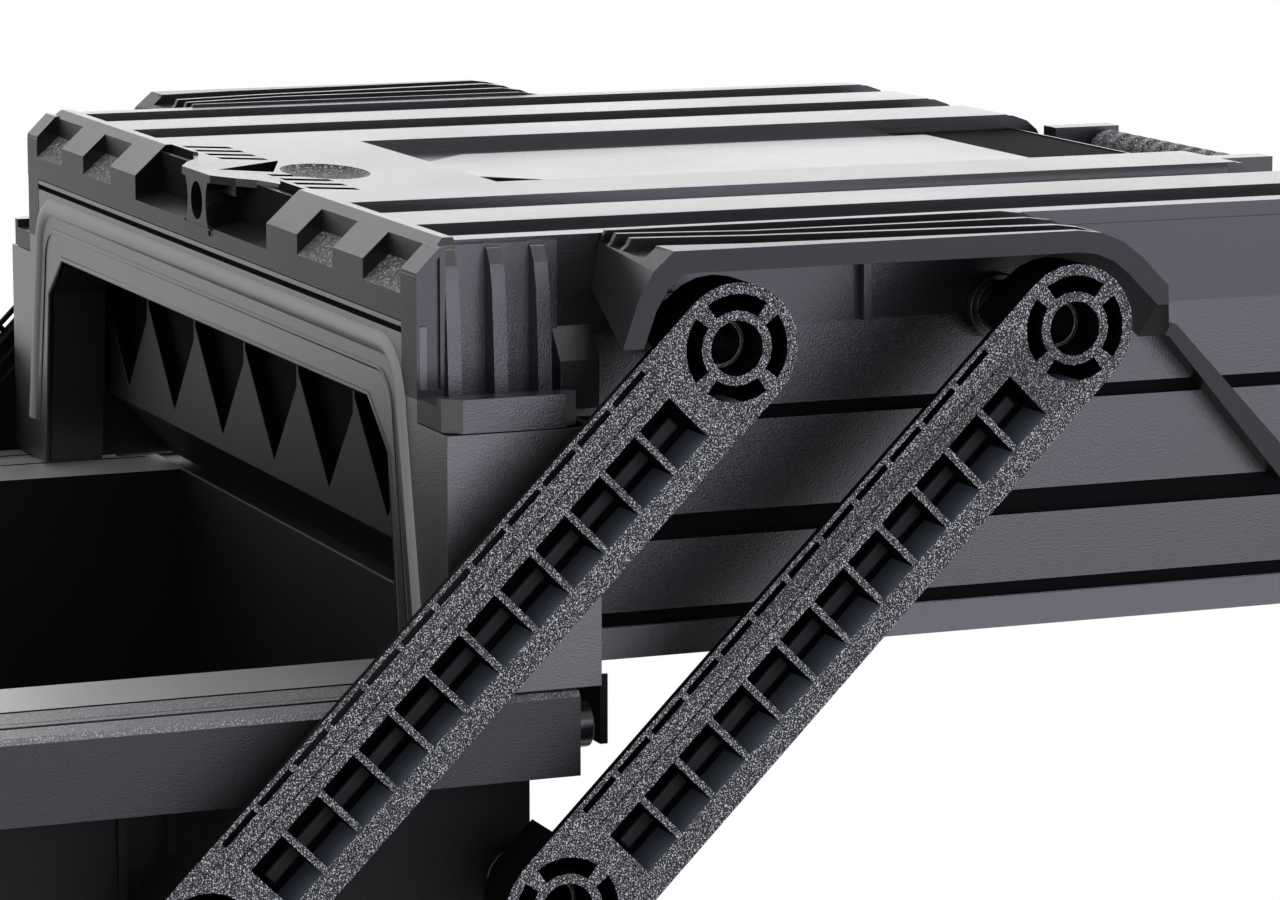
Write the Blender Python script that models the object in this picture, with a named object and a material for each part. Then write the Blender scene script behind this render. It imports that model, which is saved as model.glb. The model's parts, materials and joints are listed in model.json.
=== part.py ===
"""Rolling cantilever toolbox, shown open: a wheeled bin whose cover swings back on four lattice arms.

Metres, +Z up. The front faces -Y and the right side is +X. Every y is measured from the front top
edge of the open cover, and the whole box then moves so that its outline is centred over the origin.
"""
import math

import bmesh
import bpy
from mathutils import Vector

# Driving dimensions of the cover
LID_TOP_Z = 0.400
LID_HALF_WIDTH = 0.2527
LID_LENGTH = 0.404
COVER_HEIGHT = 0.159
COVER_REAR_SLOPE = 0.037
BAND_REACH = 0.0136
BAND_HEIGHT = 0.030
LID_SKIRT = 0.038
WALL = 0.003
RIDGE_HEIGHT = 0.0058
RIDGE_DROP = 0.0012
HOOD_HALF_WIDTH = 0.320
HOOD_LIP = 0.008

# Driving dimensions of the arms and their pivots
ARM_LENGTH = 0.280
ARM_OPEN_ANGLE = 45
ARM_THICKNESS = 0.023
ARM_BACK = 0.004
BOSS_RADIUS = 0.0235
PIVOT_SPACING = 0.1333
PIVOT_SETBACK = 0.087
PIVOT_DROP = 0.036
PIN_RADIUS = 0.0097
PIN_BORE = 0.0075
RIB_PITCH = 0.0186
RIB_WIDTH = 0.0026

# Driving dimensions of the bin and its running gear
BIN_HALF_WIDTH = 0.212
BIN_WALL = 0.004
BIN_UNDER_Z = 0.052
RIM_HALF_WIDTH = 0.269
RIM_THICKNESS = 0.003
BAND_HALF_WIDTH = 0.293
SIDE_BAND_HEIGHT = 0.031
SKIRT_HALF_WIDTH = 0.265
SKIRT_BOTTOM_Z = 0.060
WHEEL_RADIUS = 0.085
WHEEL_WIDTH = 0.034
TYRE_DEPTH = 0.024
AXLE_RADIUS = 0.006
AXLE_SETBACK = 0.027
FOOT_WIDTH = 0.070
FOOT_LENGTH = 0.050

# Driving dimensions of the pull handle and the front latch
TUBE_RADIUS = 0.0085
TUBE_BORE = 0.0072
ROD_RADIUS = 0.0068
GRIP_STANDOFF = 0.022
GRIP_DEPTH = 0.018
GRIP_HEIGHT = 0.024
BUTTON_WIDTH = 0.030
BUTTON_TRAVEL = 0.003
LATCH_WIDTH = 0.036
LATCH_THICKNESS = 0.005
LATCH_PIN_RADIUS = 0.0025
EYE_RADIUS = 0.007

# Clearances
GAP = 0.0003
SEAL_GAP = 0.0005
SIDE_GAP = 0.0015
CLOSING_GAP = 0.0015

# Depths that cutters run past a face and that joined shapes sink into each other
OVER = 0.01
SINK = 0.001

# Cover: places worked out from the driving dimensions
COVER_BOTTOM_Z = LID_TOP_Z - COVER_HEIGHT
RIDGE_TOP_Z = LID_TOP_Z - RIDGE_DROP
LID_DECK_Z = RIDGE_TOP_Z - RIDGE_HEIGHT
LID_UNDER_Z = LID_DECK_Z - WALL
LID_SKIRT_Z = LID_TOP_Z - LID_SKIRT
LID_ROLL = 0.013
LID_INNER_HALF = LID_HALF_WIDTH - WALL
BODY_HALF_WIDTH = LID_INNER_HALF - GAP
BAND_BOTTOM_Z = LID_TOP_Z - BAND_HEIGHT
BAND_CHAMFER = 0.0125
LID_BAND_HALF = LID_HALF_WIDTH + 0.0095
COVER_REAR_Y = LID_LENGTH + COVER_REAR_SLOPE
FRAME_THICKNESS = 0.004
FRAME_FRONT_Y = GAP - BAND_REACH
FRAME_Y = (FRAME_FRONT_Y, FRAME_FRONT_Y + FRAME_THICKNESS)
FRAME_HALF_WIDTH = LID_BAND_HALF
CHEEK_HALF_WIDTH = 0.2935
FRAME_TOP_Z = BAND_BOTTOM_Z - SEAL_GAP
SEAL_THICKNESS = 0.002
SEAL_FRONT_Y = FRAME_Y[0] - SEAL_THICKNESS
ARCH_DROP = 0.062
ARCH_TOP_Z = LID_TOP_Z - ARCH_DROP
ARCH_HALF_TOP = 0.209
ARCH_HALF_SHOULDER = 0.2315
ARCH_HALF_BOTTOM = 0.242
ARCH_SHOULDER_DROP = 0.080
ARCH_SHOULDER_Z = LID_TOP_Z - ARCH_SHOULDER_DROP
FLANGE_HALF_WIDTH = 0.2635
FLANGE_HEIGHT = 0.008
CHEEK_REAR_Y = 0.045
RAIL_FRONT_Y = 0.016
RAIL_DEPTH = 0.014
RAIL_FOOT_DROP = 0.128
RAIL_FOOT_Z = LID_TOP_Z - RAIL_FOOT_DROP
RAIL_TOP_DROP = 0.044
RAIL_TOP_Z = LID_TOP_Z - RAIL_TOP_DROP
PLEATS = 7
PLEAT_DEPTH = 0.010
PLEAT_POINT_DROP = 0.121
PLEAT_POINT_Z = LID_TOP_Z - PLEAT_POINT_DROP
PLEAT_RIB = 0.005

# Details of the lid
RIDGES = ((0.083, 0.1285), (0.165, 0.204), (0.240, LID_HALF_WIDTH - SINK))
RIDGE_REAR_Y = LID_LENGTH - LID_ROLL
NOTCHES = ((0.1277, 0.170), (0.2047, 0.246))
NOTCH_BACK_Y = -0.0035
NOTCH_DROPS = (0.0115, 0.0203)
RECESS_HALF_WIDTH = 0.0897
RECESS_BACK_Y = 0.0025
RECESS_DROPS = (0.0185, 0.0227)
TAB_HALF_WIDTH = 0.018
TAB_FRONT_Y = -0.0145
PIT_OUTLINE = ((0.026, 0.002), (0.017, 0.018), (-0.017, 0.018), (-0.026, 0.002), (0.0, -0.0037))
PIT_REAR_Y = 0.018
PIT_HALF_WIDTH = 0.026
PIT_DEPTH = 0.024
PIT_FLOOR_Z = LID_TOP_Z - PIT_DEPTH
BLOCK_Y = (FRAME_Y[1] + GAP, 0.042)
HOLLOW_FRONT_Y = PIT_REAR_Y + WALL
BLOCK_RIBS_Y = (-0.0055, 0.0125, 0.030)
BLOCK_RIB_WIDTH = 0.0085
STUB_Y = (0.0405, 0.0565)
STUB_TOP_Z = LID_SKIRT_Z
STUB_CHAMFER = 0.011
SKIRT_RIB_Y = (0.1635, 0.1665)
SKIRT_RIB_REACH = 0.005
LEDGE_DROP = 0.0525
LEDGE_HEIGHT = 0.012
LEDGE_GUTTER = 0.0035
LEDGE_LIP = 0.004
LEDGE_END_Y = 0.0375
LEDGE_MITRE = 0.006
BLOCK_REACH = 0.002
RIB_FOOT_X = 0.265
RIB_LEAN = 0.004
RIB_TOP_DROP = 0.003
RIB_BEND_DROP = 0.028
LEDGE_Z = (LID_TOP_Z - LEDGE_DROP - LEDGE_HEIGHT, LID_TOP_Z - LEDGE_DROP)
LEDGE_HALF_WIDTH = CHEEK_HALF_WIDTH
STUB_HALF_WIDTH = 0.262
LUG_X = (0.064, 0.076)
GRIP_SETBACK = 0.0245
REAR_GRIP_Y = LID_LENGTH + GRIP_SETBACK
GRIP_DROP = 0.015
REAR_GRIP_Z = LID_TOP_Z - GRIP_DROP
REAR_GRIP_RADIUS = 0.008
LEDGE_OVERHANG = 0.005
LEDGE_REAR_Y = BLOCK_Y[1] + LEDGE_OVERHANG
GRIP_RIBS = 10

# Details of the cover below the lid
GROOVES = ((0.069, 0.073), (0.108, 0.116), (0.143, 0.147))
GROOVE_DEPTH = 0.0012
SEAL_HALF_TOP = 0.2525
SEAL_HALF_BOTTOM = 0.269
SEAL_DROP = 0.036
SEAL_TOP_Z = LID_TOP_Z - SEAL_DROP
SEAL_FOOT_DROP = 0.141
SEAL_FOOT_Z = LID_TOP_Z - SEAL_FOOT_DROP
SEAL_BAND = 0.010
SEAL_LEG = 0.0125
SEAL_CORNER = 0.026
PANEL_INSET_Y = (0.092, 0.335)
PANEL_INSET_HALF = 0.052
PANEL_INSET_TAPER = 0.026
PANEL_INSET_THICKNESS = 0.0016
HOOD_SHOULDER_Y = 0.066
HOOD_ENDS = ((0.057, 0.021), (BLOCK_Y[1] + SEAL_GAP, 0.034))
HOOD_CLEARANCE = 0.0045
HOOD_TAIL = 0.110

# Details of the arms
WINDOW = (-0.014, 0.007)
LADDER = (0.0193, 0.0217)
SLOT_RADII = (0.0135, 0.0195)
SLOT_HALF_ANGLE = 36

# Arms and pivots: places worked out from the driving dimensions
SWING = ARM_LENGTH * math.sin(math.radians(ARM_OPEN_ANGLE))
RISE = ARM_LENGTH * math.cos(math.radians(ARM_OPEN_ANGLE))
CLOSING_TRAVEL = 2 * SWING
UPPER_PIVOT_Z = LID_TOP_Z - PIVOT_DROP
LOWER_PIVOT_Z = UPPER_PIVOT_Z - RISE
UPPER_PIVOT_Y = {"front": PIVOT_SETBACK, "rear": PIVOT_SETBACK + PIVOT_SPACING}
LOWER_PIVOT_Y = {end: y - SWING for end, y in UPPER_PIVOT_Y.items()}
ARM_INNER_X = BAND_HALF_WIDTH + SIDE_GAP
ARM_OUTER_X = ARM_INNER_X + ARM_THICKNESS
PIN_FLANGE_RADIUS = PIN_RADIUS + 0.003
PIN_FLANGE_WIDTH = 0.004

# Bin: places worked out from the driving dimensions
RIM_TOP_Z = COVER_BOTTOM_Z - CLOSING_GAP
BIN_OUTER_HALF = BIN_HALF_WIDTH + BIN_WALL
PANEL_THICKNESS = 0.0035
PANEL_BACK_Y = SEAL_FRONT_Y - CLOSING_TRAVEL - SEAL_GAP
PANEL_Y = (PANEL_BACK_Y - PANEL_THICKNESS, PANEL_BACK_Y)
PANEL_TOP_Z = BAND_BOTTOM_Z - CLOSING_GAP
PANEL_HALF_WIDTH = 0.262
PANEL_RIBS_X = (0.080, 0.150, 0.220)
PANEL_RIB_WIDTH = 0.006
PANEL_RIB_DEPTH = 0.004
PANEL_RIB_MARGIN = 0.020
BIN_FRONT_Y = PANEL_Y[1] + GAP
BIN_REAR_Y = COVER_REAR_Y - CLOSING_TRAVEL
AXLE_Y = BIN_REAR_Y - AXLE_SETBACK
APRON_HEIGHT = 0.026
APRON_SETBACK = 0.012
RIM_REAR_Y = BIN_REAR_Y + APRON_SETBACK
BAND_SETBACK = 0.008
BAND_REAR_Y = BIN_REAR_Y - BAND_SETBACK
SKIRT_SETBACK = 0.009
SKIRT_REAR_Y = BAND_REAR_Y - SKIRT_SETBACK
WEB_SETBACK = 0.030
WEB_PITCH = 0.100
SKIRT_WEBS_Y = [BIN_FRONT_Y + WEB_SETBACK + WEB_PITCH * web for web in range(3)]
WHEEL_MIDDLE_X = (BIN_OUTER_HALF + SKIRT_HALF_WIDTH - WALL) / 2
WHEEL_X = (WHEEL_MIDDLE_X - WHEEL_WIDTH / 2, WHEEL_MIDDLE_X + WHEEL_WIDTH / 2)

# Pull handle and latch: places worked out from the driving dimensions
TUBE_X = (RIM_HALF_WIDTH + BAND_HALF_WIDTH) / 2 - 0.003
TUBE_Z = RIM_TOP_Z - SIDE_BAND_HEIGHT / 2
GRIP_Y = (PANEL_Y[0] - GRIP_STANDOFF - GRIP_DEPTH, PANEL_Y[0] - GRIP_STANDOFF)
GRIP_HALF_WIDTH = TUBE_X + ROD_RADIUS + 0.003
GRIP_Z = (TUBE_Z - GRIP_HEIGHT / 2, TUBE_Z + GRIP_HEIGHT / 2)
ROD_SETBACK = 0.060
ROD_REAR_Y = BIN_REAR_Y - ROD_SETBACK
SADDLE_LENGTH = 0.012
LATCH_STANDOFF = 0.006
LATCH_DROP = 0.075
LATCH_AXIS = (PANEL_Y[0] - LATCH_STANDOFF, LID_TOP_Z - LATCH_DROP)
EYE_DROP = 0.0125
EYE_Z = LID_TOP_Z - EYE_DROP
OUTLINE_MIDDLE_Y = (GRIP_Y[0] + COVER_REAR_Y) / 2

SIDES = {"left": -1, "right": 1}
ROUND_SIDES = 24
WHEEL_SIDES = 40
SHARP_ANGLE = 32


def mirrored(side, low, high):
    """The x limits of a piece that lies between low and high on one side."""
    return min(side * low, side * high), max(side * low, side * high)


def box(x, y, z):
    """A box between three pairs of limits."""
    mesh = bmesh.new()
    bmesh.ops.create_cube(mesh, size=1)
    for vert in mesh.verts:
        vert.co = (x[vert.co.x > 0], y[vert.co.y > 0], z[vert.co.z > 0])
    return mesh


def along(axis, u, v, t):
    """A point at t along an axis, with u and v on the other two in order."""
    return {"X": (t, u, v), "Y": (u, t, v), "Z": (u, v, t)}[axis]


def prism(axis, outline, span):
    """An outline pushed along an axis from one end of a span to the other."""
    mesh = bmesh.new()
    face = mesh.faces.new([mesh.verts.new(along(axis, u, v, span[0])) for u, v in outline])
    grown = bmesh.ops.extrude_face_region(mesh, geom=[face])["geom"]
    moved = [item for item in grown if isinstance(item, bmesh.types.BMVert)]
    bmesh.ops.translate(mesh, vec=Vector(along(axis, 0, 0, span[1] - span[0])), verts=moved)
    bmesh.ops.recalc_face_normals(mesh, faces=mesh.faces)
    return mesh


def loft(axis, first, second, span):
    """A closed body between two outlines with as many points, at the two ends of a span along an axis."""
    mesh = bmesh.new()
    ends = []
    for outline, place in zip((first, second), span):
        ends.append([mesh.verts.new(along(axis, u, v, place)) for u, v in outline])
    for i in range(len(first)):
        mesh.faces.new([ends[0][i - 1], ends[0][i], ends[1][i], ends[1][i - 1]])
    for end in ends:
        mesh.faces.new(end)
    bmesh.ops.recalc_face_normals(mesh, faces=mesh.faces)
    return mesh


def arc(centre, radius, start, end, steps):
    """Points on an arc, angles in degrees, both ends included."""
    points = []
    for step in range(steps + 1):
        angle = math.radians(start + (end - start) * step / steps)
        points.append((centre[0] + radius * math.cos(angle), centre[1] + radius * math.sin(angle)))
    return points


def ring(centre, radius, sides=ROUND_SIDES):
    """Points right round a circle."""
    return arc(centre, radius, 0, 360 - 360 / sides, sides - 1)


def turned(outline, centre, sides=ROUND_SIDES):
    """An outline of (x, radius) points spun about a line along X; it closes itself unless it ends there."""
    mesh = bmesh.new()
    verts = [mesh.verts.new((x, centre[0], centre[1] - radius)) for x, radius in outline]
    closed = outline[0][1] > 0
    edges = [mesh.edges.new((verts[i - 1], verts[i])) for i in range(0 if closed else 1, len(verts))]
    middle = Vector((0, centre[0], centre[1]))
    bmesh.ops.spin(mesh, geom=verts + edges, cent=middle, axis=(1, 0, 0), angle=math.tau,
                   steps=sides, use_merge=True)
    bmesh.ops.remove_doubles(mesh, verts=mesh.verts, dist=1e-6)
    bmesh.ops.recalc_face_normals(mesh, faces=mesh.faces)
    return mesh


def pierced(outer, holes, span):
    """An outline in (y, z) with holes in it, filled and pushed along X over a span."""
    curve = bpy.data.curves.new("outline", "CURVE")
    curve.dimensions = "2D"
    curve.fill_mode = "BOTH"
    curve.extrude = (span[1] - span[0]) / 2
    for points in [outer] + holes:
        spline = curve.splines.new("POLY")
        spline.points.add(len(points) - 1)
        for point, (u, v) in zip(spline.points, points):
            point.co = (u, v, 0, 1)
        spline.use_cyclic_u = True
    guide = bpy.data.objects.new("outline", curve)
    bpy.context.collection.objects.link(guide)
    depsgraph = bpy.context.evaluated_depsgraph_get()
    mesh = bmesh.new()
    mesh.from_mesh(guide.evaluated_get(depsgraph).to_mesh())
    bpy.data.objects.remove(guide)
    bmesh.ops.remove_doubles(mesh, verts=mesh.verts, dist=1e-6)
    middle = (span[0] + span[1]) / 2
    for vert in mesh.verts:
        vert.co = (vert.co.z + middle, vert.co.x, vert.co.y)
    bmesh.ops.recalc_face_normals(mesh, faces=mesh.faces)
    return mesh


def loose(name, mesh):
    """A bmesh as an object of its own."""
    data = bpy.data.meshes.new(name)
    mesh.to_mesh(data)
    mesh.free()
    thing = bpy.data.objects.new(name, data)
    bpy.context.collection.objects.link(thing)
    return thing


def combine(target, mesh, operation):
    """Join a shape to an object, or cut it out."""
    tool = loose("tool", mesh)
    modifier = target.modifiers.new("combine", "BOOLEAN")
    modifier.object = tool
    modifier.operation = operation
    modifier.solver = "EXACT"
    depsgraph = bpy.context.evaluated_depsgraph_get()
    data = bpy.data.meshes.new_from_object(target.evaluated_get(depsgraph))
    target.modifiers.clear()
    target.data = data
    bpy.data.objects.remove(tool)


def add(meshes):
    """Steps that join shapes."""
    return [("UNION", mesh) for mesh in meshes]


def cut(meshes):
    """Steps that take shapes away."""
    return [("DIFFERENCE", mesh) for mesh in meshes]


def material(name, colour, roughness, metallic=0.0):
    """A plain surface."""
    surface = bpy.data.materials.new(name)
    surface.use_nodes = True
    shader = surface.node_tree.nodes["Principled BSDF"]
    shader.inputs["Base Color"].default_value = (*colour, 1)
    shader.inputs["Roughness"].default_value = roughness
    shader.inputs["Metallic"].default_value = metallic
    return surface


def frame(name, place, parent=None):
    """An empty on a joint's axis, placed in the box's own measures."""
    empty = bpy.data.objects.new(name, None)
    bpy.context.collection.objects.link(empty)
    empty["place"] = place
    empty.parent = parent
    if parent:
        empty.location = Vector(place) - Vector(parent["place"])
    return empty


def piece(name, surface, parent, shape, steps=()):
    """A named piece: a first shape, then shapes joined to it or cut from it in order."""
    body = loose(name, shape)
    for operation, mesh in steps:
        combine(body, mesh, operation)
    body.data.materials.clear()
    body.data.materials.append(surface)
    body.data.shade_smooth()
    body.data.set_sharp_from_angle(angle=math.radians(SHARP_ANGLE))
    place = Vector(parent["place"])
    for vert in body.data.vertices:
        vert.co -= place
    body.parent = parent
    return body


def cover_rear_y(z):
    """The y of the cover's sloping rear at a height."""
    top = LID_TOP_Z - LID_ROLL
    return LID_LENGTH + COVER_REAR_SLOPE * (top - z) / (top - COVER_BOTTOM_Z)


def lid_profile():
    """The lid's outline in (y, z), from its front edge over the deck to the rear skirt."""
    return [(0.0, LID_TOP_Z), (0.004, LID_TOP_Z), (0.008, LID_DECK_Z), (RIDGE_REAR_Y, LID_DECK_Z),
            (LID_LENGTH, LID_TOP_Z - LID_ROLL), (cover_rear_y(LID_SKIRT_Z), LID_SKIRT_Z), (0.0, LID_SKIRT_Z)]


def lid_hollow():
    """The space inside the lid's skirt, open below."""
    rear = cover_rear_y(LID_SKIRT_Z) - WALL
    outline = [(HOLLOW_FRONT_Y, LID_SKIRT_Z - OVER), (HOLLOW_FRONT_Y, LID_UNDER_Z),
               (RIDGE_REAR_Y - WALL, LID_UNDER_Z), (LID_LENGTH - WALL, LID_TOP_Z - LID_ROLL - WALL),
               (rear, LID_SKIRT_Z), (rear, LID_SKIRT_Z - OVER)]
    return prism("X", outline, (-LID_INNER_HALF, LID_INNER_HALF))


def rectangle(half, low, high):
    """The corners of a rectangle centred on x = 0, in order."""
    return [(-half, low), (half, low), (half, high), (-half, high)]


def front_band():
    """The front band: an upright lower part and an upper part that leans back to the lid's edge."""
    low = LID_TOP_Z - BAND_CHAMFER
    upright = box((-LID_BAND_HALF, LID_BAND_HALF), (-BAND_REACH, 0.004), (BAND_BOTTOM_Z, low))
    leaning = loft("Z", rectangle(LID_BAND_HALF, -BAND_REACH, 0.004), rectangle(LID_HALF_WIDTH, 0.0, 0.004),
                   (low, LID_TOP_Z))
    return [upright, leaning]


def front_pocket(x, back, drops):
    """A cutter for a pocket in the front band, whose floor falls from its back to the front face."""
    fall = (drops[1] - drops[0]) / (back + BAND_REACH)
    front = -BAND_REACH - OVER
    floor = LID_TOP_Z - drops[0]
    outline = [(back, floor), (back, LID_TOP_Z + OVER), (front, LID_TOP_Z + OVER),
               (front, floor - fall * (back - front))]
    return prism("X", outline, x)


def ledge_plan(side, inner):
    """The plan of the corner ledge on one side, mitred at both ends of its outer edge."""
    front = -BAND_REACH + GAP
    outer = LEDGE_HALF_WIDTH
    edge = FRAME_HALF_WIDTH + GAP
    points = [(edge, front), (outer - LEDGE_MITRE, front), (outer, front + LEDGE_MITRE),
              (outer, LEDGE_END_Y - LEDGE_MITRE), (outer - LEDGE_MITRE, LEDGE_END_Y), (inner, LEDGE_END_Y)]
    if inner < edge:
        points += [(inner, BLOCK_Y[0]), (edge, BLOCK_Y[0])]
    else:
        points[0] = (inner, front)
    return [(side * x, y) for x, y in points]


def corner_block(side):
    """The ribbed corner guard on one side of the lid, with the gutter ledge below it and the stub behind."""
    inner = LID_HALF_WIDTH - WALL
    gutter = LEDGE_Z[1] - LEDGE_GUTTER
    lip = LEDGE_HALF_WIDTH - LEDGE_MITRE - LEDGE_LIP
    shapes = [box(mirrored(side, inner, LID_HALF_WIDTH + BLOCK_REACH), BLOCK_Y,
                  (LEDGE_Z[0] + SINK, LID_DECK_Z - SINK)),
              prism("Z", ledge_plan(side, inner), (LEDGE_Z[0], gutter)),
              prism("Z", ledge_plan(side, lip), (gutter - SINK, LEDGE_Z[1]))]
    wedge = [(side * (LID_HALF_WIDTH - SINK), LID_TOP_Z - RIB_TOP_DROP),
             (side * (RIB_FOOT_X - RIB_LEAN), LID_TOP_Z - RIB_BEND_DROP),
             (side * RIB_FOOT_X, gutter - SINK), (side * (LID_HALF_WIDTH - SINK), gutter - SINK)]
    for y in BLOCK_RIBS_Y:
        shapes.append(prism("Y", wedge, (y, y + BLOCK_RIB_WIDTH)))
    stub = [(side * inner, STUB_TOP_Z), (side * (LID_HALF_WIDTH + SINK), STUB_TOP_Z),
            (side * STUB_HALF_WIDTH, STUB_TOP_Z - STUB_CHAMFER), (side * STUB_HALF_WIDTH, LEDGE_Z[0] + SINK),
            (side * inner, LEDGE_Z[0] + SINK)]
    shapes.append(prism("Y", stub, STUB_Y))
    shapes.append(box(mirrored(side, LID_HALF_WIDTH - SINK, LID_HALF_WIDTH + SKIRT_RIB_REACH), SKIRT_RIB_Y,
                      (LID_SKIRT_Z, UPPER_PIVOT_Z + BOSS_RADIUS)))
    return shapes


def make_lid(parent, surface):
    """The lid: deck, ridges, toothed front band, padlock eye, corner blocks and rear lugs."""
    extras = front_band()
    recess = (-RECESS_HALF_WIDTH, RECESS_HALF_WIDTH)
    cuts = [front_pocket(recess, RECESS_BACK_Y, RECESS_DROPS)]
    for side in SIDES.values():
        for low, high in RIDGES:
            extras.append(box(mirrored(side, low, high), (0.002, RIDGE_REAR_Y - SINK),
                              (LID_DECK_Z - SINK, RIDGE_TOP_Z)))
        extras.extend(corner_block(side))
        extras.append(box(mirrored(side, *LUG_X), (LID_LENGTH + SINK, REAR_GRIP_Y + REAR_GRIP_RADIUS),
                          (REAR_GRIP_Z - 0.010, REAR_GRIP_Z + 0.009)))
        for low, high in NOTCHES:
            cuts.append(front_pocket(mirrored(side, low, high), NOTCH_BACK_Y, NOTCH_DROPS))
    pocket_x = (-PIT_HALF_WIDTH - WALL, PIT_HALF_WIDTH + WALL)
    pocket = box(pocket_x, (SINK, PIT_REAR_Y + WALL + SINK), (PIT_FLOOR_Z - WALL, LID_DECK_Z - SINK))
    tab = box((-TAB_HALF_WIDTH, TAB_HALF_WIDTH), (TAB_FRONT_Y, RECESS_BACK_Y + SINK),
              (LID_TOP_Z - RECESS_DROPS[1] - SINK, LID_TOP_Z))
    pit = prism("Z", PIT_OUTLINE, (PIT_FLOOR_Z, LID_TOP_Z + OVER))
    eye = prism("Y", ring((0, EYE_Z), EYE_RADIUS), (TAB_FRONT_Y - OVER, PIT_OUTLINE[0][1]))
    shape = prism("X", lid_profile(), (-LID_HALF_WIDTH, LID_HALF_WIDTH))
    steps = cut([lid_hollow()]) + add(extras) + cut(cuts) + add([pocket, tab]) + cut([pit, eye])
    return piece("lid", surface, parent, shape, steps)


def make_cover_walls(parent, surface):
    """The two side walls and the rear wall below the lid, in one U, with the bottom flange."""
    front = HOLLOW_FRONT_Y + GAP
    top = LID_UNDER_Z - GAP
    rear_top = cover_rear_y(LID_SKIRT_Z) - WALL - GAP
    outline = [(front, COVER_BOTTOM_Z), (front, top), (LID_LENGTH - LID_ROLL - 2 * WALL, top),
               (LID_LENGTH - 2 * WALL, LID_TOP_Z - LID_ROLL - WALL), (rear_top, LID_SKIRT_Z),
               (COVER_REAR_Y, COVER_BOTTOM_Z)]
    inside = [(front - OVER, COVER_BOTTOM_Z - OVER), (front - OVER, top + OVER),
              (LID_LENGTH - LID_ROLL - 4 * WALL, top + OVER),
              (LID_LENGTH - 4 * WALL, LID_TOP_Z - LID_ROLL - WALL),
              (rear_top - WALL, LID_SKIRT_Z), (COVER_REAR_Y - WALL, COVER_BOTTOM_Z),
              (COVER_REAR_Y - WALL, COVER_BOTTOM_Z - OVER)]
    inner_half = BODY_HALF_WIDTH - WALL
    extras = []
    cuts = []
    for side in SIDES.values():
        extras.append(box(mirrored(side, inner_half + SINK, FLANGE_HALF_WIDTH),
                          (LEDGE_REAR_Y, COVER_REAR_Y - FLANGE_HEIGHT),
                          (COVER_BOTTOM_Z, COVER_BOTTOM_Z + FLANGE_HEIGHT)))
        for low, high in GROOVES:
            cuts.append(box(mirrored(side, BODY_HALF_WIDTH - GROOVE_DEPTH, BODY_HALF_WIDTH + OVER),
                            (LEDGE_REAR_Y, COVER_REAR_Y + OVER), (LID_TOP_Z - high, LID_TOP_Z - low)))
    hollow = prism("X", inside, (-inner_half, inner_half))
    shape = prism("X", outline, (-BODY_HALF_WIDTH, BODY_HALF_WIDTH))
    return piece("cover_walls", surface, parent, shape, cut([hollow]) + add(extras) + cut(cuts))


def arch(half_top, half_bottom, top, bottom, corner):
    """The right half of an arch's edge in (x, z), from its top corner down to its splayed foot."""
    middle = (half_top - corner, top - corner)
    return arc(middle, corner, 90, 0, 4) + [(half_bottom, bottom)]


def arch_outline(outer, inner):
    """A closed inverted U in (x, z) between two half edges."""
    left_outer = [(-x, z) for x, z in outer]
    left_inner = [(-x, z) for x, z in inner]
    return left_outer[::-1] + outer + inner[::-1] + left_inner


def arch_edge(offset):
    """The right half of the arched opening's edge in (x, z), moved outwards by an offset."""
    return [(ARCH_HALF_TOP + offset / 2, ARCH_TOP_Z + offset), (ARCH_HALF_SHOULDER + offset, ARCH_SHOULDER_Z),
            (ARCH_HALF_BOTTOM + offset, COVER_BOTTOM_Z)]


def make_arch_frame(parent, surface):
    """The front frame round the arched opening: a lip inside the opening and a cheek box on each side."""
    step = LEDGE_Z[0] - SEAL_GAP
    outer = [(FRAME_HALF_WIDTH, FRAME_TOP_Z), (FRAME_HALF_WIDTH, step), (CHEEK_HALF_WIDTH, step),
             (CHEEK_HALF_WIDTH, COVER_BOTTOM_Z)]
    shape = prism("Y", arch_outline(outer, arch_edge(0)), FRAME_Y)
    lip = prism("Y", arch_outline(arch_edge(WALL), arch_edge(0)), (FRAME_Y[0] + SINK, RAIL_FRONT_Y - WALL))
    cheeks = []
    for side in SIDES.values():
        cheeks.append(box(mirrored(side, CHEEK_HALF_WIDTH - WALL, CHEEK_HALF_WIDTH),
                          (FRAME_Y[0] + SINK, CHEEK_REAR_Y), (COVER_BOTTOM_Z, step)))
        cheeks.append(box(mirrored(side, BODY_HALF_WIDTH + GAP, CHEEK_HALF_WIDTH - SINK),
                          (CHEEK_REAR_Y - WALL, CHEEK_REAR_Y), (COVER_BOTTOM_Z, step)))
    return piece("arch_frame", surface, parent, shape, add([lip] + cheeks))


def make_arch_gasket(parent, surface):
    """The rubber seal on the front of the arch frame."""
    outer = arch(SEAL_HALF_TOP, SEAL_HALF_BOTTOM, SEAL_TOP_Z, SEAL_FOOT_Z, SEAL_CORNER)
    inner = arch(SEAL_HALF_TOP - SEAL_LEG, SEAL_HALF_BOTTOM - SEAL_LEG, SEAL_TOP_Z - SEAL_BAND, SEAL_FOOT_Z,
                 SEAL_CORNER - SEAL_BAND)
    shape = prism("Y", arch_outline(outer, inner), (SEAL_FRONT_Y, FRAME_Y[0] - GAP))
    return piece("arch_gasket", surface, parent, shape)


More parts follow.
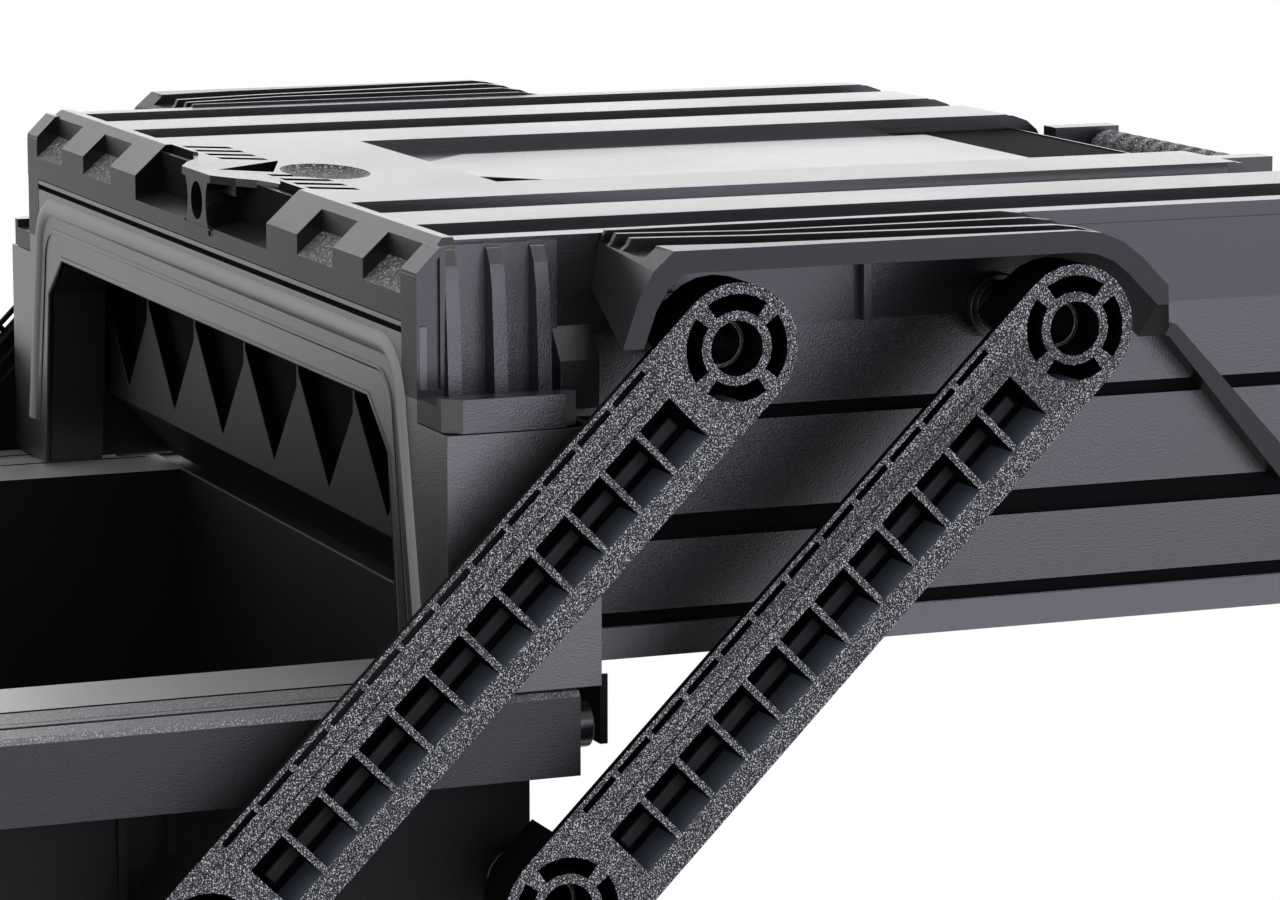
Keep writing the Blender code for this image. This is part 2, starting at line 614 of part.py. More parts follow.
def pleat(middle, pitch):
    """A pointed pocket in the rail's face, deepest at the top and running out at its point."""
    half = pitch / 2 - PLEAT_RIB / 2
    face = RAIL_FRONT_Y - SINK
    top = RAIL_TOP_Z + OVER
    mesh = bmesh.new()
    corners = [(middle - half, face, top), (middle + half, face, top),
               (middle, face + PLEAT_DEPTH, top), (middle, face, PLEAT_POINT_Z)]
    points = [mesh.verts.new(corner) for corner in corners]
    for trio in ((0, 1, 2), (0, 1, 3), (1, 2, 3), (0, 2, 3)):
        mesh.faces.new([points[i] for i in trio])
    bmesh.ops.recalc_face_normals(mesh, faces=mesh.faces)
    return mesh


def make_cross_rail(parent, surface):
    """The pleated rail behind the arch; its foot slopes back so that it clears the bin as it swings."""
    half = BODY_HALF_WIDTH - WALL - SEAL_GAP
    foot = RAIL_FOOT_Z - COVER_BOTTOM_Z - 0.002
    back = RAIL_FRONT_Y + RAIL_DEPTH
    outline = [(RAIL_FRONT_Y, RAIL_TOP_Z), (RAIL_FRONT_Y, RAIL_FOOT_Z),
               (RAIL_FRONT_Y + foot, RAIL_FOOT_Z - foot), (back + foot, RAIL_FOOT_Z - foot),
               (back, RAIL_FOOT_Z), (back, RAIL_TOP_Z)]
    pitch = 2 * half / PLEATS
    pockets = [pleat(-half + pitch * (index + 0.5), pitch) for index in range(PLEATS)]
    shape = prism("X", outline, (-half, half))
    return piece("cross_rail", surface, parent, shape, cut(pockets))


def make_deck_panel(parent, surface):
    """The smooth panel let into the middle of the lid."""
    low, high = PANEL_INSET_Y
    narrow = PANEL_INSET_HALF - PANEL_INSET_TAPER
    shoulder = low + PANEL_INSET_TAPER
    outline = [(-narrow, low), (narrow, low), (PANEL_INSET_HALF, shoulder), (PANEL_INSET_HALF, high),
               (-PANEL_INSET_HALF, high), (-PANEL_INSET_HALF, shoulder)]
    shape = prism("Z", outline, (LID_DECK_Z + GAP, LID_DECK_Z + GAP + PANEL_INSET_THICKNESS))
    return piece("deck_panel", surface, parent, shape)


def make_rear_grip(parent, surface):
    """The ribbed lifting bar between the two lugs behind the lid."""
    half = LUG_X[0] - GAP
    pitch = 2 * half / GRIP_RIBS
    outline = [(-half, 0.0)]
    for rib in range(GRIP_RIBS):
        start = -half + rib * pitch
        outline += [(start, REAR_GRIP_RADIUS - 0.0015), (start + 0.3 * pitch, REAR_GRIP_RADIUS - 0.0015),
                    (start + 0.45 * pitch, REAR_GRIP_RADIUS), (start + 0.85 * pitch, REAR_GRIP_RADIUS)]
    outline += [(half, REAR_GRIP_RADIUS - 0.0015), (half, 0.0)]
    shape = turned(outline, (REAR_GRIP_Y, REAR_GRIP_Z), 12)
    return piece("rear_grip", surface, parent, shape)


def hood_path(offset, front, drop):
    """The hood's edge in (y, z) from a front line, offset outwards from the edge that clears the arms."""
    radius = BOSS_RADIUS + HOOD_CLEARANCE + offset
    rear = (UPPER_PIVOT_Y["rear"], UPPER_PIVOT_Z)
    top = UPPER_PIVOT_Z + radius
    foot = LID_TOP_Z - drop
    start = front + HOOD_LIP - offset
    shoulder = max(HOOD_SHOULDER_Y, front + HOOD_LIP) - offset / 2
    slope = math.sqrt(0.5)
    tail = (rear[0] + radius * slope + HOOD_TAIL * slope, rear[1] + radius * slope - HOOD_TAIL * slope)
    lead = [(start, foot), (start + (shoulder - start) * 0.3, foot + (top - foot) * 0.5),
            (start + (shoulder - start) * 0.6, foot + (top - foot) * 0.8), (shoulder, top)]
    return lead + arc(rear, radius, 90, 45, 3) + [tail]


def make_arm_hood(name, side, parent, surface):
    """The hood over the upper pivots: a strip that follows the arms' open and closed outline."""
    ends = [hood_path(HOOD_LIP, *end) + hood_path(0, *end)[::-1] for end in HOOD_ENDS]
    shape = loft("X", *ends, (side * (LID_HALF_WIDTH + GAP), side * HOOD_HALF_WIDTH))
    return piece(name, surface, parent, shape)


def make_pivot_pin(name, side, base_x, centre, parent, surface):
    """A hollow pivot pin with a flange against the wall it stands on."""
    outline = [(base_x, PIN_FLANGE_RADIUS), (base_x, PIN_BORE), (ARM_OUTER_X, PIN_BORE),
               (ARM_OUTER_X, PIN_RADIUS), (base_x + PIN_FLANGE_WIDTH, PIN_RADIUS),
               (base_x + PIN_FLANGE_WIDTH, PIN_FLANGE_RADIUS)]
    shape = turned([(side * x, radius) for x, radius in outline], centre)
    return piece(name, surface, parent, shape)


def arm_point(end, along_arm, across):
    """A point in (y, z) of the open arm, from its distance along and across from the lower pivot."""
    angle = math.radians(90 - ARM_OPEN_ANGLE)
    y = LOWER_PIVOT_Y[end] + along_arm * math.cos(angle) - across * math.sin(angle)
    return y, LOWER_PIVOT_Z + along_arm * math.sin(angle) + across * math.cos(angle)


def gathered(meshes):
    """Shapes that don't touch, gathered into one mesh."""
    whole = bmesh.new()
    for mesh in meshes:
        data = bpy.data.meshes.new("gathered")
        mesh.to_mesh(data)
        mesh.free()
        whole.from_mesh(data)
        bpy.data.meshes.remove(data)
    return whole


def arm_pockets():
    """The pockets in an arm's outer face: curved slots round the bosses, windows and ladder slots."""
    pockets = []
    for centre in ((0, 0), (ARM_LENGTH, 0)):
        for middle in (45, 135, 225, 315):
            start, end = middle - SLOT_HALF_ANGLE, middle + SLOT_HALF_ANGLE
            outer = arc(centre, SLOT_RADII[1], start, end, 5)
            pockets.append(outer + arc(centre, SLOT_RADII[0], end, start, 4))
    first = BOSS_RADIUS + 0.004
    count = int((ARM_LENGTH - 2 * first) / RIB_PITCH)
    margin = (ARM_LENGTH - count * RIB_PITCH) / 2
    for index in range(count):
        start = margin + index * RIB_PITCH + RIB_WIDTH / 2
        end = start + RIB_PITCH - RIB_WIDTH
        for low, high in (WINDOW, LADDER):
            pockets.append([(start, low), (end, low), (end, high), (start, high)])
    return pockets


def make_arm(name, end, side, parent, surface):
    """An arm: a bar with round bosses, with rows of pockets in its outer face and a thin outer rail."""
    outer = arc((ARM_LENGTH, 0), BOSS_RADIUS, -90, 90, 12) + arc((0, 0), BOSS_RADIUS, 90, 270, 12)
    bores = [ring(centre, PIN_RADIUS + GAP) for centre in ((0, 0), (ARM_LENGTH, 0))]
    placed = [[arm_point(end, *point) for point in points] for points in [outer] + bores]
    shape = pierced(placed[0], placed[1:], mirrored(side, ARM_INNER_X, ARM_OUTER_X))
    depth = mirrored(side, ARM_INNER_X + ARM_BACK, ARM_OUTER_X + OVER)
    pockets = [prism("X", [arm_point(end, *point) for point in points], depth) for points in arm_pockets()]
    return piece(name, surface, parent, shape, cut([gathered(pockets)]))


def make_bin(parent, surface):
    """The deep bin with its wide rim, its rear apron and two rear lips."""
    tub = box((-BIN_OUTER_HALF, BIN_OUTER_HALF), (BIN_FRONT_Y, BIN_REAR_Y), (BIN_UNDER_Z, RIM_TOP_Z - SINK))
    rim = box((-RIM_HALF_WIDTH, RIM_HALF_WIDTH), (BIN_FRONT_Y, RIM_REAR_Y),
              (RIM_TOP_Z - RIM_THICKNESS, RIM_TOP_Z))
    apron = box((-RIM_HALF_WIDTH, RIM_HALF_WIDTH), (RIM_REAR_Y - WALL, RIM_REAR_Y),
                (RIM_TOP_Z - APRON_HEIGHT, RIM_TOP_Z - SINK))
    hollow = box((-BIN_HALF_WIDTH, BIN_HALF_WIDTH), (BIN_FRONT_Y + BIN_WALL, BIN_REAR_Y - BIN_WALL),
                 (BIN_UNDER_Z + BIN_WALL + 0.001, RIM_TOP_Z + OVER))
    return piece("bin", surface, parent, tub, add([rim, apron]) + cut([hollow]))


def make_side_skirt(name, side, parent, surface):
    """The outer side wall with its rim band, the webs that tie it to the bin, and the axle hole."""
    band_low = RIM_TOP_Z - SIDE_BAND_HEIGHT
    inner = SKIRT_HALF_WIDTH - WALL
    edge = RIM_HALF_WIDTH + SEAL_GAP
    half = [(edge, RIM_TOP_Z), (BAND_HALF_WIDTH - 0.002, RIM_TOP_Z), (BAND_HALF_WIDTH, RIM_TOP_Z - 0.002),
            (BAND_HALF_WIDTH, band_low), (SKIRT_HALF_WIDTH, band_low), (SKIRT_HALF_WIDTH, SKIRT_BOTTOM_Z),
            (inner, SKIRT_BOTTOM_Z), (inner, band_low + WALL), (BAND_HALF_WIDTH - WALL, band_low + WALL),
            (BAND_HALF_WIDTH - WALL, RIM_TOP_Z - WALL), (edge, RIM_TOP_Z - WALL)]
    shape = prism("Y", [(side * x, z) for x, z in half], (BIN_FRONT_Y, BAND_REAR_Y))
    wall_x = mirrored(side, inner - OVER, SKIRT_HALF_WIDTH + OVER)
    bracket_z = LOWER_PIVOT_Z + PIN_FLANGE_RADIUS
    trim = box(wall_x, (SKIRT_REAR_Y, BAND_REAR_Y + OVER), (bracket_z, band_low - GAP))
    webs = []
    for y in SKIRT_WEBS_Y:
        webs.append(box(mirrored(side, BIN_OUTER_HALF + GAP, inner + SINK), (y, y + BIN_WALL),
                        (SKIRT_BOTTOM_Z + 0.01, band_low)))
    bracket = box(mirrored(side, inner, SKIRT_HALF_WIDTH), (BAND_REAR_Y - SINK, RIM_REAR_Y - 0.012),
                  (SKIRT_BOTTOM_Z, bracket_z))
    saddles = []
    for y in (BIN_FRONT_Y, (BIN_FRONT_Y + BAND_REAR_Y) / 2, BAND_REAR_Y - SADDLE_LENGTH):
        saddles.append(box(mirrored(side, TUBE_X - TUBE_RADIUS / 2, BAND_HALF_WIDTH - SINK),
                           (y, y + SADDLE_LENGTH), (band_low + SINK, TUBE_Z - TUBE_RADIUS - GAP)))
    axle = prism("X", ring((AXLE_Y, WHEEL_RADIUS), AXLE_RADIUS + GAP), wall_x)
    return piece(name, surface, parent, shape, add(webs + saddles + [bracket]) + cut([trim, axle]))


def make_front_panel(parent, surface):
    """The tall front panel that closes the arch, with ribs and the latch's two hinge lugs."""
    outer = arch(PANEL_HALF_WIDTH, PANEL_HALF_WIDTH, PANEL_TOP_Z, BIN_UNDER_Z, SEAL_CORNER)
    shape = prism("Y", outer + [(-x, z) for x, z in outer[::-1]], PANEL_Y)
    extras = []
    for side in SIDES.values():
        low = LATCH_WIDTH / 2 + SEAL_GAP
        extras.append(box(mirrored(side, low, low + 0.006), (LATCH_AXIS[0] - 0.005, PANEL_Y[1] - SINK),
                          (LATCH_AXIS[1] - 0.008, LATCH_AXIS[1] + 0.006)))
        for x in PANEL_RIBS_X:
            extras.append(box(mirrored(side, x, x + PANEL_RIB_WIDTH),
                              (PANEL_Y[0] - PANEL_RIB_DEPTH, PANEL_Y[1] - SINK),
                              (BIN_UNDER_Z + PANEL_RIB_MARGIN, PANEL_TOP_Z - PANEL_RIB_MARGIN)))
    bore = prism("X", ring(LATCH_AXIS, LATCH_PIN_RADIUS + GAP, 12), (-LATCH_WIDTH, LATCH_WIDTH))
    return piece("front_panel", surface, parent, shape, add(extras) + cut([bore]))


def make_latch_pin(parent, surface):
    """The latch's hinge pin, held in the panel's lugs."""
    half = LATCH_WIDTH / 2 + SEAL_GAP + 0.006
    shape = prism("X", ring(LATCH_AXIS, LATCH_PIN_RADIUS, 12), (-half, half))
    return piece("latch_pin", surface, parent, shape)


def make_latch(parent, surface):
    """The hasp: a plate that stands up in front of the padlock eye, with its hole in line."""
    half = LATCH_WIDTH / 2
    back = PANEL_Y[0] - CLOSING_GAP
    plate = box((-half, half), (back - LATCH_THICKNESS, back), (LATCH_AXIS[1], LID_TOP_Z - SINK))
    knuckle = prism("X", ring(LATCH_AXIS, 0.0052, 12), (-half, half))
    pull = box((-half * 0.7, half * 0.7), (back - LATCH_THICKNESS - 0.006, back - SINK),
               (LATCH_AXIS[1] + 0.030, LATCH_AXIS[1] + 0.035))
    bore = prism("X", ring(LATCH_AXIS, LATCH_PIN_RADIUS + GAP, 12), (-half - OVER, half + OVER))
    eye = prism("Y", ring((0, EYE_Z), EYE_RADIUS), (back - LATCH_THICKNESS - OVER, back + OVER))
    return piece("latch", surface, parent, plate, add([knuckle, pull]) + cut([bore, eye]))


def make_guide_tube(name, side, parent, surface):
    """The fixed tube in a side band that the pull handle's rod slides in."""
    shape = pierced_along_y((side * TUBE_X, TUBE_Z), TUBE_RADIUS, TUBE_BORE, (BIN_FRONT_Y, BIN_REAR_Y))
    return piece(name, surface, parent, shape)


def pierced_along_y(centre, radius, bore, span):
    """A round tube along Y."""
    mesh = pierced(ring((0, 0), radius), [ring((0, 0), bore)], span)
    for vert in mesh.verts:
        vert.co = (centre[0] + vert.co.y, vert.co.x, centre[1] + vert.co.z)
    bmesh.ops.recalc_face_normals(mesh, faces=mesh.faces)
    return mesh


def make_handle_rod(name, side, parent, surface):
    """A rod of the pull handle."""
    shape = prism("Y", ring((side * TUBE_X, TUBE_Z), ROD_RADIUS), (GRIP_Y[1] + GAP, ROD_REAR_Y))
    return piece(name, surface, parent, shape)


def make_handle_grip(parent, surface):
    """The pull handle's cross bar, with the pocket for its release button."""
    corner = 0.003
    y0, y1 = GRIP_Y
    z0, z1 = GRIP_Z
    outline = [(y0, z0 + corner), (y0 + corner, z0), (y1 - corner, z0), (y1, z0 + corner),
               (y1, z1 - corner), (y1 - corner, z1), (y0 + corner, z1), (y0, z1 - corner)]
    shape = prism("X", outline, (-GRIP_HALF_WIDTH, GRIP_HALF_WIDTH))
    half = BUTTON_WIDTH / 2 + GAP
    middle = (y0 + y1) / 2
    pocket = box((-half, half), (middle - 0.005 - GAP, middle + 0.005 + GAP), (z1 - 0.010, z1 + OVER))
    return piece("handle_grip", surface, parent, shape, cut([pocket]))


def make_handle_button(parent, surface):
    """The release button in the top of the grip."""
    middle = (GRIP_Y[0] + GRIP_Y[1]) / 2
    shape = box((-BUTTON_WIDTH / 2, BUTTON_WIDTH / 2), (middle - 0.005, middle + 0.005),
                (GRIP_Z[1] - 0.010 + BUTTON_TRAVEL + GAP, GRIP_Z[1] + BUTTON_TRAVEL + 0.0005))
    return piece("handle_button", surface, parent, shape)


def make_tyre(name, side, parent, surface):
    """A solid tyre with shouldered edges."""
    low, high = WHEEL_X
    shoulder = 0.004
    inner = WHEEL_RADIUS - TYRE_DEPTH
    outline = [(low, inner), (low, WHEEL_RADIUS - shoulder), (low + shoulder, WHEEL_RADIUS),
               (high - shoulder, WHEEL_RADIUS), (high, WHEEL_RADIUS - shoulder), (high, inner)]
    shape = turned([(side * x, radius) for x, radius in outline], (AXLE_Y, WHEEL_RADIUS), WHEEL_SIDES)
    return piece(name, surface, parent, shape)


def make_hub(name, side, parent, surface):
    """A wheel hub: rim, dished web with five holes, and a sleeve on the axle."""
    low, high = WHEEL_X
    rim = WHEEL_RADIUS - TYRE_DEPTH - GAP
    bore = AXLE_RADIUS + GAP
    sleeve = AXLE_RADIUS + 0.008
    middle = (low + high) / 2
    web = 0.004
    outline = [(low, rim), (low, rim - 0.006), (middle - web, rim - 0.008), (middle - web, sleeve),
               (low, sleeve), (low, bore), (high, bore), (high, sleeve), (middle + web, sleeve),
               (middle + web, rim - 0.008), (high, rim - 0.006), (high, rim)]
    shape = turned([(side * x, radius) for x, radius in outline], (AXLE_Y, WHEEL_RADIUS), WHEEL_SIDES)
    holes = []
    for spoke in range(5):
        angle = math.tau * spoke / 5
        reach = (rim - 0.008 + sleeve) / 2
        centre = (AXLE_Y + reach * math.sin(angle), WHEEL_RADIUS + reach * math.cos(angle))
        holes.append(prism("X", ring(centre, 0.011, 12), mirrored(side, low - OVER, high + OVER)))
    return piece(name, surface, parent, shape, cut(holes))


def make_axle(name, side, parent, surface):
    """A headed stub axle from the skirt through the wheel to the bin's wall."""
    inner = BIN_OUTER_HALF + GAP
    head = SKIRT_HALF_WIDTH + GAP
    outline = [(inner, 0.0), (inner, AXLE_RADIUS), (head, AXLE_RADIUS), (head, AXLE_RADIUS + 0.005),
               (head + 0.005, AXLE_RADIUS + 0.004), (head + 0.005, 0.0)]
    shape = turned([(side * x, radius) for x, radius in outline], (AXLE_Y, WHEEL_RADIUS))
    return piece(name, surface, parent, shape)


def make_foot(name, side, parent, surface):
    """A front foot under the bin."""
    top = BIN_UNDER_Z - GAP
    outer = BIN_OUTER_HALF - 0.012
    taper = 0.010
    outline = [(side * (outer - FOOT_WIDTH), top), (side * outer, top), (side * (outer - taper), 0.0),
               (side * (outer - FOOT_WIDTH + taper), 0.0)]
    shape = prism("Y", outline, (BIN_FRONT_Y + 0.012, BIN_FRONT_Y + 0.012 + FOOT_LENGTH))
    return piece(name, surface, parent, shape)


def build():
    """The whole toolbox, each moving group on an empty at its axis."""
    for thing in list(bpy.data.objects):
        bpy.data.objects.remove(thing)
    shell = material("black shell plastic", (0.035, 0.035, 0.038), 0.42)
    arm_black = material("grained arm plastic", (0.028, 0.028, 0.030), 0.38)
    gloss = material("smooth panel plastic", (0.040, 0.040, 0.043), 0.22)
    rubber = material("grey seal rubber", (0.20, 0.21, 0.20), 0.60)
    tyre_black = material("tyre rubber", (0.022, 0.022, 0.022), 0.75)
    steel = material("zinc plated steel", (0.56, 0.56, 0.57), 0.32, 1.0)

    base = frame("base", (0, OUTLINE_MIDDLE_Y, 0))
    rear_arms = frame("rear_arms", (0, LOWER_PIVOT_Y["rear"], LOWER_PIVOT_Z), base)
    front_arms = frame("front_arms", (0, LOWER_PIVOT_Y["front"], LOWER_PIVOT_Z), base)
    cover = frame("cover", (0, UPPER_PIVOT_Y["rear"], UPPER_PIVOT_Z), rear_arms)
    handle = frame("pull_handle", (0, GRIP_Y[1], TUBE_Z), base)
    button = frame("release", (0, GRIP_Y[1], GRIP_Z[1]), handle)
    hasp = frame("hasp", (0, *LATCH_AXIS), base)

    make_lid(cover, shell)
    make_cover_walls(cover, shell)
    make_arch_frame(cover, shell)
    make_arch_gasket(cover, rubber)
    make_cross_rail(cover, shell)
    make_deck_panel(cover, gloss)
    make_rear_grip(cover, arm_black)
    make_bin(base, shell)
    make_front_panel(base, shell)
    make_latch_pin(base, steel)
    make_latch(hasp, arm_black)
    make_handle_grip(handle, arm_black)
    make_handle_button(button, rubber)
    arm_frames = {"front": front_arms, "rear": rear_arms}
    for hand, side in SIDES.items():
        make_arm_hood(f"arm_hood_{hand}", side, cover, shell)
        make_side_skirt(f"side_skirt_{hand}", side, base, shell)
        make_guide_tube(f"guide_tube_{hand}", side, base, steel)
        make_handle_rod(f"handle_rod_{hand}", side, handle, steel)
        make_axle(f"axle_{hand}", side, base, steel)
        make_foot(f"front_foot_{hand}", side, base, tyre_black)
        wheel = frame(f"wheel_{hand}", (side * WHEEL_MIDDLE_X, AXLE_Y, WHEEL_RADIUS), base)
        make_tyre(f"tyre_{hand}", side, wheel, tyre_black)
        make_hub(f"wheel_hub_{hand}", side, wheel, arm_black)
        for end in ("front", "rear"):
            upper = (UPPER_PIVOT_Y[end], UPPER_PIVOT_Z)
            lower = (LOWER_PIVOT_Y[end], LOWER_PIVOT_Z)
            make_arm(f"{end}_arm_{hand}", end, side, arm_frames[end], arm_black)
            make_pivot_pin(f"{end}_upper_pin_{hand}", side, LID_HALF_WIDTH + GAP, upper, cover, shell)
            make_pivot_pin(f"{end}_lower_pin_{hand}", side, SKIRT_HALF_WIDTH + GAP, lower, base, shell)


build()
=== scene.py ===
"""Open rolling toolbox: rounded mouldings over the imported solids, grained plastics, studio and camera."""
import json
import math

import bpy
from mathutils import Euler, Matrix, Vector

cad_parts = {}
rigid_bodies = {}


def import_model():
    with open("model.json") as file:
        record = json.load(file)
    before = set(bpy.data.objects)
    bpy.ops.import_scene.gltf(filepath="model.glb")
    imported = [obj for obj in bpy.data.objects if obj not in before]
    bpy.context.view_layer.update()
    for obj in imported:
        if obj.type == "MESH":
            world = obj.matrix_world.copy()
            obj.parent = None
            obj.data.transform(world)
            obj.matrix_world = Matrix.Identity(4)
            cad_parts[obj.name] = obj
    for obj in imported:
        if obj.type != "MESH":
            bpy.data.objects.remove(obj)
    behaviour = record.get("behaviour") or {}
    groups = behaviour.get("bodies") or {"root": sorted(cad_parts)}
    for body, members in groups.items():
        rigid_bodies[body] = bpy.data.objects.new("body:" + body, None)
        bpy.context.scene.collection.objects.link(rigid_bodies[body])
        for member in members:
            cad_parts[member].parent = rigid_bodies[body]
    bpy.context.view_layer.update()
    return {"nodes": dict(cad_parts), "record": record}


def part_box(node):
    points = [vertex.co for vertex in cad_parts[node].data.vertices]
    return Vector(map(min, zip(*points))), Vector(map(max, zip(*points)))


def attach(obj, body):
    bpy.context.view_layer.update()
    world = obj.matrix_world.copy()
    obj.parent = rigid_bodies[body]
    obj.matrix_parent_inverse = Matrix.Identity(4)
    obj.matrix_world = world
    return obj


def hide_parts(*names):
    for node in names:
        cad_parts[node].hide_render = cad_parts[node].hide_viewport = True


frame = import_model()
NODES = frame["nodes"]
BODY_OF = {node: body for body, nodes in frame["record"]["behaviour"]["bodies"].items() for node in nodes}

# The front top edge of the open cover; the photograph's measures are taken from it
EDGE_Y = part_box("lid")[0].y + 0.0145
TOP_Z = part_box("lid")[1].z
SIDES = {"right": 1, "left": -1}


def deselect():
    """Leaves nothing selected."""
    if bpy.context.object and bpy.context.object.mode != "OBJECT":
        bpy.ops.object.mode_set(mode="OBJECT")
    bpy.ops.object.select_all(action="DESELECT")


# Studio

LOOK_DOWN = 9.531
LOOK_ROUND = 67.924
LENS = 139.04
FLOOR_WHITE = 0.96
ROOM_LIGHT = 0.8
NEAR_TINT = (0.78, 0.77, 1.0)


def add_camera():
    """The photograph's view: a long lens, a little above the lid, looking across the box to its rear."""
    place = (1.9044, EDGE_Y - 0.5936, 0.6175)
    turn = Euler((math.radians(90 - LOOK_DOWN), 0, math.radians(LOOK_ROUND)))
    bpy.ops.object.camera_add(location=place, rotation=turn)
    camera = bpy.context.object
    camera.name = "photo_view"
    camera.data.lens = LENS
    camera.data.sensor_width = 36
    camera.data.clip_end = 30
    bpy.context.scene.camera = camera
    bpy.context.scene.view_settings.view_transform = "Standard"


def add_lamp(name, place, aim, size, power, colour=(1, 1, 1)):
    """A soft box aimed at a point."""
    turn = (Vector(aim) - Vector(place)).to_track_quat("-Z", "Y").to_euler()
    bpy.ops.object.light_add(type="AREA", location=place, rotation=turn)
    lamp = bpy.context.object
    lamp.name = name
    lamp.data.shape = "RECTANGLE"
    lamp.data.size, lamp.data.size_y = size
    lamp.data.energy = power
    lamp.data.color = colour


def white_when_seen(tree, shader, white, share):
    """Mixes a shader with plain white for what is seen straight or mirrored, and keeps its light as it is."""
    path = tree.nodes.new("ShaderNodeLightPath")
    mirrored = tree.nodes.new("ShaderNodeMath")
    mirrored.operation = "MAXIMUM"
    seen = tree.nodes.new("ShaderNodeMath")
    seen.operation = "MAXIMUM"
    part = tree.nodes.new("ShaderNodeMath")
    part.operation = "MULTIPLY"
    part.inputs[1].default_value = share
    white.inputs["Color"].default_value = (1, 1, 1, 1)
    white.inputs["Strength"].default_value = 1.0
    mix = tree.nodes.new("ShaderNodeMixShader")
    tree.links.new(path.outputs["Is Glossy Ray"], mirrored.inputs[0])
    tree.links.new(path.outputs["Is Transmission Ray"], mirrored.inputs[1])
    tree.links.new(path.outputs["Is Camera Ray"], seen.inputs[0])
    tree.links.new(mirrored.outputs[0], seen.inputs[1])
    tree.links.new(seen.outputs[0], part.inputs[0])
    tree.links.new(part.outputs[0], mix.inputs[0])
    tree.links.new(shader, mix.inputs[1])
    tree.links.new(white.outputs[0], mix.inputs[2])
    return mix.outputs[0]


def add_floor():
    """A pale sweep of floor that looks white and keeps a trace of shadow."""
    deselect()
    bpy.ops.mesh.primitive_plane_add(size=24, location=(0, 0, -0.0005))
    floor = bpy.context.object
    floor.name = "floor"
    paint = bpy.data.materials.new("pale floor")
    paint.use_nodes = True
    tree = paint.node_tree
    matt = tree.nodes["Principled BSDF"]
    matt.inputs["Base Color"].default_value = (0.88, 0.88, 0.88, 1)
    matt.inputs["Roughness"].default_value = 0.8
    matt.inputs["Specular IOR Level"].default_value = 0.1
    shown = white_when_seen(tree, matt.outputs[0], tree.nodes.new("ShaderNodeEmission"), FLOOR_WHITE)
    tree.links.new(shown, tree.nodes["Material Output"].inputs["Surface"])
    floor.data.materials.append(paint)


def add_room():
    """A dim even room that looks white, straight and mirrored."""
    world = bpy.data.worlds.new("studio")
    bpy.context.scene.world = world
    world.use_nodes = True
    tree = world.node_tree
    room = tree.nodes["Background"]
    room.inputs["Color"].default_value = (0.96, 0.97, 1.0, 1)
    room.inputs["Strength"].default_value = ROOM_LIGHT
    shown = white_when_seen(tree, room.outputs[0], tree.nodes.new("ShaderNodeBackground"), 1.0)
    tree.links.new(shown, tree.nodes["World Output"].inputs["Surface"])


def add_lamps():
    """Soft boxes: over the lid, to the front left, behind the far side and along the near side."""
    add_lamp("overhead box", (-0.3, 0.5, 2.0), (0, 0.1, 0.35), (2.0, 1.6), 12)
    add_lamp("front box", (-1.6, -2.0, 0.9), (0, 0, 0.3), (1.6, 1.4), 4)
    add_lamp("backdrop box", (-2.3, 1.15, 0.62), (0, 0.22, 0.40), (2.4, 1.0), 8)
    add_lamp("near side box", (1.75, 0.64, 0.40), (0.3, 0.1, 0.36), (1.8, 1.3), 18, NEAR_TINT)


# Finishes


